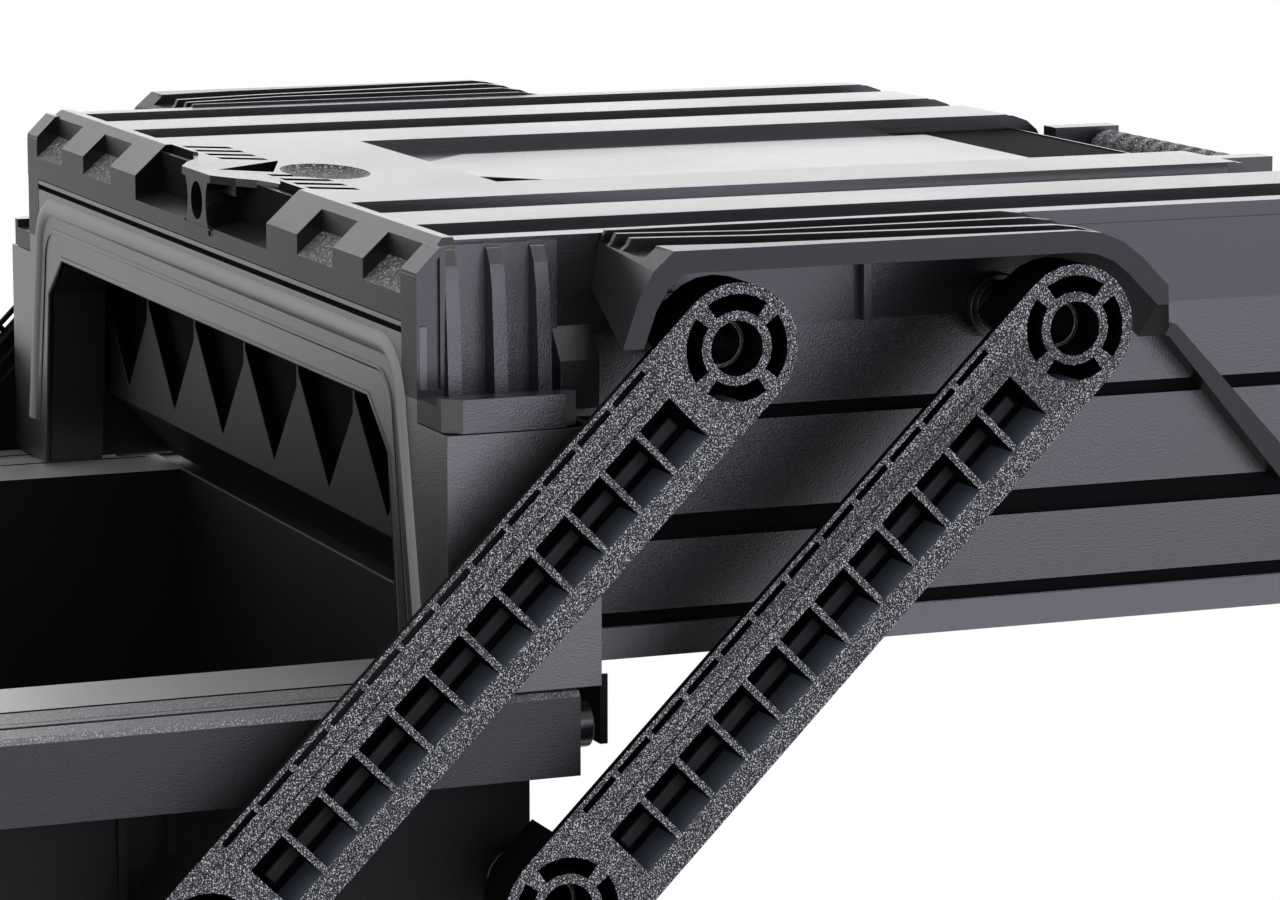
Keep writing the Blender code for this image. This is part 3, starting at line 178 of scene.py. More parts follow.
def grain_group():
    """Moulded grain: pebbles of one size with a finer roughness on them, and a slow change of tone."""
    group = bpy.data.node_groups.new("moulded grain", "ShaderNodeTree")
    for name, start in (("Pebbles", 600.0), ("Fine", 2400.0), ("Fine Share", 0.35), ("Sharp", 0.5)):
        socket = group.interface.new_socket(name, in_out="INPUT", socket_type="NodeSocketFloat")
        socket.default_value = start
    for name in ("Height", "Tone"):
        group.interface.new_socket(name, in_out="OUTPUT", socket_type="NodeSocketFloat")
    nodes, links = group.nodes, group.links
    start = nodes.new("NodeGroupInput")
    end = nodes.new("NodeGroupOutput")
    place = nodes.new("ShaderNodeTexCoord")
    warp = nodes.new("ShaderNodeTexNoise")
    warp.inputs["Detail"].default_value = 2.0
    cells = nodes.new("ShaderNodeTexVoronoi")
    cells.feature = "SMOOTH_F1"
    cells.inputs["Smoothness"].default_value = 0.6
    fine = nodes.new("ShaderNodeTexNoise")
    fine.inputs["Detail"].default_value = 3.0
    slow = nodes.new("ShaderNodeTexNoise")
    slow.inputs["Scale"].default_value = 9.0
    slow.inputs["Detail"].default_value = 3.0
    bend = nodes.new("ShaderNodeMix")
    bend.data_type = "VECTOR"
    bend.inputs["Factor"].default_value = 0.0012
    blend = nodes.new("ShaderNodeMix")
    links.new(start.outputs["Pebbles"], warp.inputs["Scale"])
    links.new(start.outputs["Pebbles"], cells.inputs["Scale"])
    links.new(start.outputs["Fine"], fine.inputs["Scale"])
    links.new(start.outputs["Fine Share"], blend.inputs["Factor"])
    for texture in (warp, fine, slow):
        links.new(place.outputs["Object"], texture.inputs["Vector"])
    links.new(place.outputs["Object"], bend.inputs["A"])
    links.new(warp.outputs["Color"], bend.inputs["B"])
    links.new(bend.outputs["Result"], cells.inputs["Vector"])
    links.new(cells.outputs["Distance"], blend.inputs["A"])
    links.new(fine.outputs["Fac"], blend.inputs["B"])
    under = nodes.new("ShaderNodeMath")
    under.operation = "SUBTRACT"
    under.inputs[0].default_value = 0.5
    over = nodes.new("ShaderNodeMath")
    over.inputs[0].default_value = 0.5
    steepen = nodes.new("ShaderNodeMapRange")
    steepen.interpolation_type = "SMOOTHSTEP"
    links.new(start.outputs["Sharp"], under.inputs[1])
    links.new(start.outputs["Sharp"], over.inputs[1])
    links.new(under.outputs[0], steepen.inputs["From Min"])
    links.new(over.outputs[0], steepen.inputs["From Max"])
    links.new(blend.outputs["Result"], steepen.inputs["Value"])
    links.new(steepen.outputs["Result"], end.inputs["Height"])
    links.new(slow.outputs["Fac"], end.inputs["Tone"])
    return group


GRAIN = grain_group()
ROUGHNESS_DRIFT = 0.05


def finish(name, colour, roughness, pebbles, fine, share, depth, tone=0.25, metallic=0.0, sharp=0.5,
           gloss=0.5, glint=None):
    """A moulded surface: colour and roughness that drift a little, and grain as bump; a glint colour, where
    given, is a painted highlight laid on the grain's peaks.
    """
    surface = bpy.data.materials.new(name)
    surface.use_nodes = True
    nodes, links = surface.node_tree.nodes, surface.node_tree.links
    shader = nodes["Principled BSDF"]
    shader.inputs["Metallic"].default_value = metallic
    shader.inputs["Specular IOR Level"].default_value = gloss
    grain = nodes.new("ShaderNodeGroup")
    grain.node_tree = GRAIN
    grain.inputs["Pebbles"].default_value = pebbles
    grain.inputs["Fine"].default_value = fine
    grain.inputs["Fine Share"].default_value = share
    grain.inputs["Sharp"].default_value = sharp
    tint = nodes.new("ShaderNodeMix")
    tint.data_type = "RGBA"
    tint.inputs["A"].default_value = (*[c * (1 - tone) for c in colour], 1)
    tint.inputs["B"].default_value = (*[c * (1 + tone) for c in colour], 1)
    spread = nodes.new("ShaderNodeMapRange")
    spread.inputs["To Min"].default_value = roughness - ROUGHNESS_DRIFT
    spread.inputs["To Max"].default_value = roughness + ROUGHNESS_DRIFT
    bump = nodes.new("ShaderNodeBump")
    bump.inputs["Strength"].default_value = 1.0
    bump.inputs["Distance"].default_value = depth
    links.new(grain.outputs["Tone"], tint.inputs["Factor"])
    links.new(grain.outputs["Tone"], spread.inputs["Value"])
    links.new(tint.outputs["Result"], shader.inputs["Base Color"])
    # Painted glints: a light colour laid on the grain's peaks stands in for highlights.
    if glint:
        peaks = nodes.new("ShaderNodeMapRange")
        peaks.inputs["From Min"].default_value = 0.55
        glint_paint = nodes.new("ShaderNodeMix")
        glint_paint.data_type = "RGBA"
        glint_paint.inputs["B"].default_value = (*glint, 1)
        links.new(grain.outputs["Height"], peaks.inputs["Value"])
        links.new(peaks.outputs["Result"], glint_paint.inputs["Factor"])
        links.new(tint.outputs["Result"], glint_paint.inputs["A"])
        links.new(glint_paint.outputs["Result"], shader.inputs["Base Color"])
    links.new(spread.outputs["Result"], shader.inputs["Roughness"])
    links.new(grain.outputs["Height"], bump.inputs["Height"])
    links.new(bump.outputs["Normal"], shader.inputs["Normal"])
    return surface


SHELL = finish("fine grained black shell", (0.0100, 0.0106, 0.0122), 0.24, 1300, 2200, 0.7, 0.00012,
               gloss=0.75)
LID_SHELL = finish("black lid", (0.0105, 0.0108, 0.0118), 0.24, 1500, 3600, 0.4, 0.00005)
# Satin finish on the lid's front-facing faces; its darker colour and weaker gloss are painted shade on that
# side.
SHADED_SATIN_BAND = finish("satin front band painted darker as shade", (0.0085, 0.0084, 0.0083), 0.42, 1000, 2400, 0.6, 0.00010, gloss=0.22)
HEADER = finish("smooth arch frame", (0.0125, 0.0125, 0.0125), 0.32, 1400, 3600, 0.4, 0.00006, gloss=1.0)
HOOD_SHELL = finish("satin black hood", (0.0080, 0.0082, 0.0090), 0.27, 1500, 4200, 0.5, 0.00004,
                    gloss=0.22)
# Arm grain with painted glints: a light colour on the grain's peaks stands in for highlights.
COARSE = finish("coarse grained black arm", (0.0060, 0.0060, 0.0065), 0.36, 1600, 1900, 0.85, 0.0007,
                sharp=0.13, glint=(0.50, 0.505, 0.52), gloss=0.40)
# A darker copy of the arm grain with weaker glints: painted shade on one band of the arm.
SHADED_COARSE_ARM = finish("arm grain painted darker as shade", (0.0055, 0.0055, 0.0060), 0.42, 1600, 1900, 0.85, 0.0007,
                     sharp=0.13, glint=(0.32, 0.323, 0.33), gloss=0.35)
# Lighter colour and glints on the thumb dish and notch floors: painted light on up-facing floors.
LIT_PEBBLED_DISH = finish("pebbled thumb dish painted light with glints", (0.035, 0.035, 0.036), 0.34, 900, 1200, 0.7, 0.0006, sharp=0.16,
                     glint=(0.45, 0.45, 0.45))
# Interiors painted dark as shade: the same black plastic, darker and duller.
SHADE_DARKENED_INNER = finish("inner wall painted dark as shade", (0.0050, 0.0049, 0.0048), 0.50, 1400, 3600, 0.4, 0.00006, gloss=0.22)
# The wall under the skirt's band painted near black as shade.
SHADE_PAINTED_LOWER_WALL = finish("lower wall painted dark as shade", (0.0042, 0.0042, 0.0044), 0.50, 1000, 3000, 0.5, 0.0002, gloss=0.14)
SKIRT = finish("slate grained band", (0.0095, 0.0098, 0.0112), 0.36, 1100, 1700, 0.85, 0.0002, gloss=0.42)
SMOOTH = finish("smooth black panel", (0.0105, 0.0108, 0.0115), 0.22, 1800, 5200, 0.6, 0.00002)
# Polished notch walls: the low roughness is the finish, the darker colour is painted shade.
SHADED_POLISHED_NOTCH = finish("polished notch wall painted dark as shade", (0.005, 0.005, 0.0055), 0.08, 1800, 5200, 0.6, 0.00001)
# Near-black painted shade for hollows, grooves, gaps and windows.
SHADE_BLACK = finish("dull black painted as shade in hollows", (0.0025, 0.0025, 0.0027), 0.80, 1500, 4200, 0.5, 0.00005, gloss=0.05)
RAIL = finish("smooth window rail", (0.013, 0.013, 0.014), 0.40, 1800, 5200, 0.6, 0.00002, gloss=0.12)
# A bluish colour painted on a window ledge as a reflection.
PAINTED_BLUE_REFLECTION = finish("window wall with painted bluish reflection", (0.125, 0.142, 0.172), 0.34, 1800, 5200, 0.6, 0.00002)
# Up-facing rim faces painted light as light from above.
TOP_LIT_RIM = finish("grained rim painted light from above", (0.260, 0.260, 0.264), 0.30, 1000, 2600, 0.6, 0.00012, gloss=0.9)
# Up-facing shoulder faces painted light, with painted glints on the grain.
TOP_LIT_SHOULDER = finish("pebbled shoulder painted light with glints", (0.085, 0.087, 0.093), 0.34, 1100, 1500, 0.85, 0.0004, sharp=0.2,
                  glint=(0.42, 0.425, 0.44), gloss=0.9)
RUBBER = finish("grey seal rubber", (0.22, 0.225, 0.22), 0.40, 1800, 5200, 0.6, 0.00005)
TYRE = finish("tyre rubber", (0.014, 0.014, 0.014), 0.70, 900, 3200, 0.5, 0.00015)
STEEL = finish("zinc plated steel", (0.60, 0.60, 0.61), 0.30, 2400, 6000, 0.7, 0.00002, 0.08, 1.0)
BY_SLOT = {"shell": SHELL, "grained": COARSE, "smooth_panel": SMOOTH, "seal": RUBBER, "tyre": TYRE,
           "steel": STEEL}
SLOT_OF = {entry["node"]: entry["material_slot"] for entry in frame["record"]["subparts"]}

# Mouldings

MM = 0.001
STEP_ALONG = {"X": Vector((MM, 0, 0)), "Y": Vector((0, MM, 0)), "Z": Vector((0, 0, MM))}


def spot(x, y, z):
    """The place of a point given in millimetres from the middle of the cover's front top edge."""
    return Vector((x * MM, EDGE_Y + y * MM, TOP_Z + z * MM))


def sketch(name, axis, outline, span):
    """A flat outline in millimetres, drawn square to an axis and extruded along it."""
    deselect()
    bpy.ops.mesh.primitive_circle_add(vertices=len(outline), fill_type="NGON")
    piece = bpy.context.object
    piece.name = name
    at = span[0]
    for vertex, (first, second) in zip(piece.data.vertices, outline):
        places = {"X": spot(at, first, second), "Y": spot(first, at, second), "Z": spot(first, second, at)}
        vertex.co = places[axis]
    bpy.ops.object.mode_set(mode="EDIT")
    bpy.ops.mesh.select_all(action="SELECT")
    move = STEP_ALONG[axis] * (span[1] - span[0])
    bpy.ops.mesh.extrude_region_move(TRANSFORM_OT_translate={"value": move})
    bpy.ops.mesh.select_all(action="SELECT")
    bpy.ops.mesh.normals_make_consistent(inside=False)
    bpy.ops.object.mode_set(mode="OBJECT")
    return piece


def block(name, low, high):
    """A box between two corners in millimetres."""
    return sketch(name, "Z", [(low[0], low[1]), (high[0], low[1]), (high[0], high[1]), (low[0], high[1])],
                  (low[2], high[2]))


def on_side(side, outline):
    """An outline whose first measure is a distance from the middle, laid on one side."""
    return [(side * out, other) for out, other in outline]


def side_block(name, side, out, along, up):
    """A box on one side, from its spans out from the middle, along the box and upwards."""
    near, far = sorted((side * out[0], side * out[1]))
    return block(name, (near, along[0], up[0]), (far, along[1], up[1]))


def combine(piece, operation, tools):
    """Cuts tools out of a piece, or adds them to it, and removes them."""
    for tool in tools:
        deselect()
        bpy.context.view_layer.objects.active = piece
        step = piece.modifiers.new("combine", "BOOLEAN")
        step.operation = operation
        step.solver = "EXACT"
        step.object = tool
        bpy.ops.object.modifier_apply(modifier=step.name)
        bpy.data.objects.remove(tool)


def join(name, pieces):
    """Several pieces as one object."""
    deselect()
    for piece in pieces:
        piece.select_set(True)
    bpy.context.view_layer.objects.active = pieces[0]
    bpy.ops.object.join()
    pieces[0].name = name
    return pieces[0]


def solid_copy(node):
    """A copy of a solid with its flat faces joined up."""
    deselect()
    source = NODES[node]
    source.select_set(True)
    bpy.context.view_layer.objects.active = source
    bpy.ops.object.duplicate()
    piece = bpy.context.object
    bpy.ops.object.parent_clear(type="CLEAR_KEEP_TRANSFORM")
    for key in list(piece.keys()):
        del piece[key]
    piece.name = node + "_moulding"
    bpy.ops.object.mode_set(mode="EDIT")
    bpy.ops.mesh.select_all(action="SELECT")
    bpy.ops.mesh.remove_doubles(threshold=0.00001)
    bpy.ops.mesh.customdata_custom_splitnormals_clear()
    bpy.ops.mesh.dissolve_limited(angle_limit=math.radians(1))
    bpy.ops.object.mode_set(mode="OBJECT")
    return piece


def round_edges(piece, width, segments=2, angle=28, crease=22):
    """Rounds a piece's edges, keeps its flat faces flat and shades its round faces smooth."""
    deselect()
    piece.select_set(True)
    bpy.context.view_layer.objects.active = piece
    bpy.ops.object.shade_smooth_by_angle(angle=math.radians(crease))
    bevel = piece.modifiers.new("rounded edges", "BEVEL")
    bevel.width = width
    bevel.segments = segments
    bevel.limit_method = "ANGLE"
    bevel.angle_limit = math.radians(angle)
    bevel.harden_normals = True
    bpy.ops.object.modifier_apply(modifier=bevel.name)
    return piece


def finish_piece(piece, body, surface):
    """Gives a piece its surface and the body that carries it."""
    piece.data.materials.clear()
    piece.data.materials.append(surface)
    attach(piece, body)


def dress(piece, node, surface=None):
    """Gives a piece its finish and lets it stand for its solid."""
    finish_piece(piece, BODY_OF[node], surface or BY_SLOT[SLOT_OF[node]])
    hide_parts(node)


def paint(piece, surface, test):
    """Gives the faces of a piece that pass a test a surface of their own."""
    piece.data.materials.append(surface)
    index = len(piece.data.materials) - 1
    for face in piece.data.polygons:
        if test(face):
            face.material_index = index


def measured(point):
    """A place in millimetres from the middle of the cover's front top edge."""
    return point.x / MM, (point.y - EDGE_Y) / MM, (point.z - TOP_Z) / MM


# Cover


def in_notch(face):
    """True for the side walls of the notches in the lid's front band."""
    x, y, z = measured(face.center)
    return -12 < y < 2 and -29 < z < -1 and abs(x) < 248 and abs(face.normal.x) > 0.8


def in_lit_dish(face):
    """True for the hollow of the thumb dish and the floors of the notches, which get a lighter colour and
    glints as painted light.
    """
    x, y, z = measured(face.center)
    floor = -14 < y < 2 and -27 < z < -8 and 95 < abs(x) < 248 and face.normal.z > 0.5
    return floor or (-12 < x < 52 and 15 < y < 51 and -6.3 < z < -1.35 and face.normal.z > 0.2)


def in_corner(face):
    """True for the grained walls and ribs at the lid's front corners."""
    x, y, z = measured(face.center)
    return abs(x) > 252 and -3 < y < 70 and z < -3.2 and abs(face.normal.x) > 0.3


def in_shaded_hollow(face):
    """True for the deck's floor behind its panel, the finger pit and the back of the middle notches, which
    are painted black as shade.
    """
    x, y, z = measured(face.center)
    deck = abs(x) < 83 and y > 328 and -8 < z < -7.2 and face.normal.z > 0.5
    pit = -24 < x < 18 and -5 < y < 29 and -8 < z < -1.6
    back = 20 < abs(x) < 95 and -3 < y < 3 and -24 < z < -3 and face.normal.y < -0.5
    return deck or pit or back


# Outlines in millimetres from the middle of the cover's front top edge
DECK_LEVEL = -1.2
TAB_HALF = [(19, -14.4), (24, -12), (33, -8), (42, -2), (60, 2.6), (60, 6)]
POST_HALF = [(16, -3), (13, -8), (12, -13), (13, -19), (16, -26)]
EYE_RADIUS = 7.8
CORNER_POST = [(-13.4, -56.5), (-13.4, -11.2), (-4.6, -2.4), (-2.2, -2.4), (-2.2, -56.5)]
CORNER_RIB = [(252, -57), (265, -57), (263.6, -32), (262.4, -18), (260.4, -9.5), (256.8, -4.2), (252, -2.2)]
RIB_STARTS = (-2.3, 15.3, 32.1)
RIB_WIDTH = 5.2
STUB = [(250, -63), (263.5, -63), (263.5, -45.5), (254.5, -34), (250, -34)]
POST_PANEL = [(-12.2, -53), (-4.4, -53), (-4.4, -5.6), (-12.2, -12.6)]
RIDGES = ((83, 128.5), (165, 204), (240, 252))
RIDGE_TAIL = [(386, -8), (386, -1.2), (393, -1.8), (400, -4.2), (405, -8.5), (408, -14), (413, -37.5),
              (408, -37.5), (401, -14), (390, -8)]
FINGER_PIT = [(0, -5), (17, 13), (-23, 28)]
GRIP_SLOT = [(0, 8), (8, 8), (19, 25), (11, 25)]
GRIP_SLOTS = {1: (23, 39, 55, 71), -1: (-45, -61, -77, -93)}


def make_tab():
    """The padlock tab: a thin flared plate at the lip over a waisted eye."""
    plate = sketch("padlock tab", "Z", TAB_HALF + on_side(-1, TAB_HALF[::-1]), (-4.4, DECK_LEVEL))
    post = sketch("eye post", "Y", POST_HALF + on_side(-1, POST_HALF[::-1]), (-14.2, 4))
    deselect()
    bpy.ops.mesh.primitive_cylinder_add(vertices=40, radius=EYE_RADIUS * MM, depth=0.05,
                                        location=spot(0, -8, -13.2), rotation=(math.pi / 2, 0, 0))
    eye = bpy.context.object
    bpy.ops.object.transform_apply(location=True, rotation=True, scale=True)
    combine(post, "DIFFERENCE", [eye])
    combine(plate, "UNION", [post])
    return plate


def make_corner(side):
    """A front corner of the lid: a full post, a plain wall, three curved ribs and a sloped stub."""
    pieces = [sketch("corner post", "X", CORNER_POST, sorted((side * 246, side * 262.4))),
              side_block("corner wall", side, (249, 255), (-3, 43), (-57, -2.6))]
    for start in RIB_STARTS:
        pieces.append(sketch("corner rib", "Y", on_side(side, CORNER_RIB), (start, start + RIB_WIDTH)))
    pieces.append(sketch("stub", "Y", on_side(side, STUB), (41, 56)))
    return pieces


def make_thumb_dish():
    """A shallow ball that cuts the thumb dish."""
    deselect()
    bpy.ops.mesh.primitive_uv_sphere_add(segments=40, ring_count=20, radius=1)
    dish = bpy.context.object
    dish.scale = (0.030, 0.0165, 0.0050)
    dish.location = spot(22, 33, -1.0)
    bpy.ops.object.transform_apply(location=True, rotation=True, scale=True)
    return dish


def make_lid():
    """The lid: padlock tab, level front deck, grip slots, thumb dish, ribbed corners and ridge tails."""
    lid = solid_copy("lid")
    old = [block("old tab", (-19, -16, -23), (19, 2.4, 2))]
    extras = [make_tab(), block("pit floor", (-30, -7, -9), (30, 6, -3)),
              block("front deck", (-84, 2.0, -8), (84, 84, DECK_LEVEL))]
    cuts = [sketch("finger pit", "Z", FINGER_PIT, (-6.5, 2)),
            block("rear deck", (-83, 328, -7.6), (83, 390, 2)),
            block("lip over tab", (-58, -1, DECK_LEVEL), (58, 5, 2))]
    for side in SIDES.values():
        for near, far in RIDGES:
            extras.append(sketch("ridge tail", "X", RIDGE_TAIL, sorted((side * near, side * far))))
        # A back wall behind the middle notches, painted black as shade.
        extras.append(side_block("notch back", side, (13, 95), (-2, 0.5), (-24, -3)))
        old.append(side_block("old ribs", side, (254.75, 268), (-8.9, 41.9), (-55.9, -4)))
        extras += make_corner(side)
        cuts.append(sketch("post panel", "X", POST_PANEL, (side * 260.9, side * 264)))
        for near in GRIP_SLOTS[side]:
            cuts.append(sketch("grip slot", "Z", [(near + x, y) for x, y in GRIP_SLOT], (-4.5, 2)))
    cuts.append(make_thumb_dish())
    combine(lid, "DIFFERENCE", old)
    combine(lid, "UNION", extras)
    combine(lid, "DIFFERENCE", cuts)
    round_edges(lid, 0.0007, 2, 20, 12)
    dress(lid, "lid", LID_SHELL)
    # Painted shade: the lid's front-facing faces get the darker satin band.
    paint(lid, SHADED_SATIN_BAND, lambda face: face.normal.y < -0.9 and face.center.y < EDGE_Y - 0.002)
    paint(lid, HEADER, lambda face: -0.9 < face.normal.y < -0.4 and face.center.y < EDGE_Y + 0.002)
    paint(lid, SHELL, in_corner)
    # Painted shade: the deck floor behind the panel, the finger pit and the back of the middle notches are
    # painted black.
    paint(lid, SHADE_BLACK, in_shaded_hollow)
    # Painted shade: the notch side walls get the darker polished colour.
    paint(lid, SHADED_POLISHED_NOTCH, in_notch)
    # Painted light: the thumb dish and the notch floors get a lighter colour and glints.
    paint(lid, LIT_PEBBLED_DISH, in_lit_dish)


HOOD_STEPS = (((255, 52), (262, 58), (273.5, 110), (275.5, 262), (255, 262)),
              ((264, 54), (276, 58), (286, 105), (298, 222), (297, 250), (279, 262), (276.2, 110)),
              ((278.5, 54), (302, 57), (309, 95), (316.5, 228), (303, 228), (289.2, 105)))
REAR_RAIL = [(330, -27), (319, -29), (264, -50), (264, -110), (330, -110)]
HOOD_END = [(244, 298.5), (252, 294.5), (320, 257), (335, 249), (335, 362), (244, 362)]
STRUT = [(274, -20), (281, -23.5), (284.5, -30.5), (288.5, -44.5), (293, -46), (339, -94.5), (350, -106.6),
         (341, -110), (290, -50.5), (282, -47), (271, -33)]


def make_hood(side, node):
    """An arm hood with three thin steps let into its top, a slanted rear end and a strut down the wall."""
    hood = solid_copy(node)
    cuts = [sketch("hood step", "Z", on_side(side, plan), (-4.5, 3)) for plan in HOOD_STEPS]
    cuts.append(sketch("rear rail", "Y", on_side(side, REAR_RAIL), (248, 345)))
    cuts.append(sketch("hood end", "Z", on_side(side, HOOD_END), (-135, 6)))
    cuts.append(side_block("strut root", side, (246, 268), (252, 305), (-135, -46)))
    combine(hood, "DIFFERENCE", cuts)
    combine(hood, "UNION", [sketch("hood strut", "X", STRUT, sorted((side * 248.5, side * 260)))])
    round_edges(hood, 0.0013, 3)
    dress(hood, node, HOOD_SHELL)


GROOVES = ((-68.4, -73.6), (-107.2, -116.6), (-142.4, -147.6))
SIDE_GROOVE = [(246.9, 43), (255, 43), (255, 450), (246.9, 450)]
WALL_FOOT = [(247.5, -147.9), (263.4, -147.9), (263.4, -154), (247.5, -154)]
FOOT_SLOPE = [(250.0, -147.8), (272, -140), (272, -163), (254.6, -163)]


def rear_at(z):
    """How far back the cover's sloping rear wall stands at a height."""
    return 407 + (-38 - z) * 34 / 121


def in_shaded_groove(face):
    """True for the floors of the grooves round the cover's walls, which are painted black as shade."""
    x, y, z = measured(face.center)
    side = 246.6 < abs(x) < 248.2 and abs(face.normal.x) > 0.8
    return side or (abs(x) < 246 and rear_at(z) - 3 < y < rear_at(z) - 1 and face.normal.y > 0.5)


def make_cover_walls():
    """The cover's walls with deep grooves round them whose floors are painted black as shade, inner faces
    painted dark as shade, a sloped foot and gussets at the front.
    """
    walls = solid_copy("cover_walls")
    cuts, feet = [], []
    for side in SIDES.values():
        for high, low in GROOVES:
            cuts.append(sketch("side groove", "Z", on_side(side, SIDE_GROOVE), (low, high)))
    for high, low in GROOVES:
        upper, lower = rear_at(high), rear_at(low)
        back = [(upper - 2, high), (upper + 6, high), (lower + 6, low), (lower - 2, low)]
        cuts.append(sketch("rear groove", "X", back, (-248, 248)))
    for side in SIDES.values():
        cuts.append(sketch("foot slope", "Y", on_side(side, FOOT_SLOPE), (15, 448)))
        feet.append(sketch("wall foot", "Y", on_side(side, WALL_FOOT), (46, 439)))
        feet.append(side_block("front gusset", side, (244, 262), (12, 46), (-157.5, -100)))
    combine(walls, "UNION", feet)
    combine(walls, "DIFFERENCE", cuts)
    round_edges(walls, 0.0006, 2, 25, 14)
    dress(walls, "cover_walls")
    # Painted shade: the cover's inner faces are painted dark.
    paint(walls, SHADE_DARKENED_INNER, lambda face: abs(face.center.x) < 0.2464 and face.normal.y < 0.2)
    # Painted shade: the groove floors are painted black.
    paint(walls, SHADE_BLACK, in_shaded_groove)


POCKETS = 7
POCKET_WALL = 1.2
POCKET_TIP = -121


def make_cross_rail():
    """The rail behind the arch with pointed pockets let into its face; the rail is painted dark as shade and
    the pockets black as shade.
    """
    rail = solid_copy("cross_rail")
    low, high = (measured(corner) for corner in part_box("cross_rail"))
    pitch = (high[0] - low[0]) / POCKETS
    for pocket in range(POCKETS):
        start = low[0] + pitch * pocket
        left, right = start + POCKET_WALL, start + pitch - POCKET_WALL
        outline = [(left, -38), (right, -38), (right, -86), (start + pitch * 0.55, POCKET_TIP), (left, -80)]
        combine(rail, "DIFFERENCE", [sketch("pocket", "Y", outline, (low[1] - 2, low[1] + 7))])
    round_edges(rail, 0.0004)
    # Painted shade: the whole rail is painted dark.
    dress(rail, "cross_rail", SHADE_DARKENED_INNER)

    def in_shaded_pocket(face):
        """True for what lies behind the rail's face and above the pockets' tips, which is painted black as
        shade.
        """
        return face.center.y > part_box("cross_rail")[0].y + 0.002 and face.center.z > TOP_Z + POCKET_TIP * MM

    # Painted shade: the faces inside the pockets are painted black.
    paint(rail, SHADE_BLACK, in_shaded_pocket)


def arch_path(half_top, half_foot, top, foot, corner):
    """Points in (x, z) over an arch, from its left foot to its right foot."""
    steps = [math.radians(90 * step / 8) for step in range(9)]
    turn = [(half_top - corner + corner * math.sin(at), top - corner + corner * math.cos(at)) for at in steps]
    right = turn + [(half_foot, foot)]
    return [(-x, z) for x, z in right[::-1]] + right


def make_bead(name, path, y, radius, surface):
    """A round bead laid along a path on the cover's front."""
    line = bpy.data.curves.new(name, "CURVE")
    line.dimensions = "3D"
    line.bevel_depth = radius * MM
    line.bevel_resolution = 5
    line.use_fill_caps = True
    run = line.splines.new("POLY")
    run.points.add(len(path) - 1)
    for point, (x, z) in zip(run.points, path):
        point.co = (*spot(x, y, z), 1)
    bead = bpy.data.objects.new(name, line)
    bpy.context.collection.objects.link(bead)
    deselect()
    bead.select_set(True)
    bpy.context.view_layer.objects.active = bead
    bpy.ops.object.convert(target="MESH")
    bpy.ops.object.shade_smooth_by_angle(angle=math.radians(40))
    finish_piece(bead, "cover", surface)
    return bead


GAP_LINE = (-34.6, -32.4)


def in_shaded_gap(face):
    """True for the floor of the gap line under the lid's band, which is painted black as shade."""
    x, y, z = measured(face.center)
    return GAP_LINE[0] < z < GAP_LINE[1] and -11.5 < y < -9.8


def make_arch_frame():
    """The arch frame with a gap under the lid's band whose floor is painted black as shade."""
    arch = solid_copy("arch_frame")
    combine(arch, "DIFFERENCE", [block("gap line", (-262, -16, GAP_LINE[0]), (262, -10.6, GAP_LINE[1]))])
    round_edges(arch, 0.0006)
    dress(arch, "arch_frame", HEADER)
    # Painted shade: the gap's floor is painted black.
    paint(arch, SHADE_BLACK, in_shaded_gap)


def make_front_beads():
    """The round seal over the arch, a thin ridge inside it and a trim line round the opening."""
    seal = make_bead("arch_seal", arch_path(246.5, 262.6, -41, -140.5, 22), -10.2, 5.0, RUBBER)
    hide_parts("arch_gasket")
    make_bead("arch_ridge", arch_path(236.5, 250.5, -50.8, -140.5, 17), -12.6, 1.3, SMOOTH)
    edge = [(242, -158), (231.5, -80), (209, -62)]
    make_bead("arch_trim", [(-x, z) for x, z in edge] + edge[::-1], -12.4, 1.5, SMOOTH)


# Arms

ARM_FOOT = {"front": (-111.0, -234.0), "rear": (22.3, -234.0)}
HALF_ROOT = math.sqrt(0.5)


def arm_spot(end, along, across):
    """A point in (y, z) on an open arm, from its distance along it and across it from the lower pivot."""
    foot = ARM_FOOT[end]
    return foot[0] + (along - across) * HALF_ROOT, foot[1] + (along + across) * HALF_ROOT


def arm_across(end, face):
    """How far across an arm a face lies."""
    x, y, z = measured(face.center)
    return ((z - ARM_FOOT[end][1]) - (y - ARM_FOOT[end][0])) * HALF_ROOT


def arm_bar(name, end, side, along, across, deep):
    """A bar lying along an arm."""
    corners = [(along[0], across[0]), (along[1], across[0]), (along[1], across[1]), (along[0], across[1])]
    return sketch(name, "X", [arm_spot(end, *corner) for corner in corners], (side * deep[0], side * deep[1]))


OUTER_FACE = 0.3165
RELIEF = (((18.8, 27), 314.4), ((14.0, 19.5), 307), ((9.6, 15), 300))


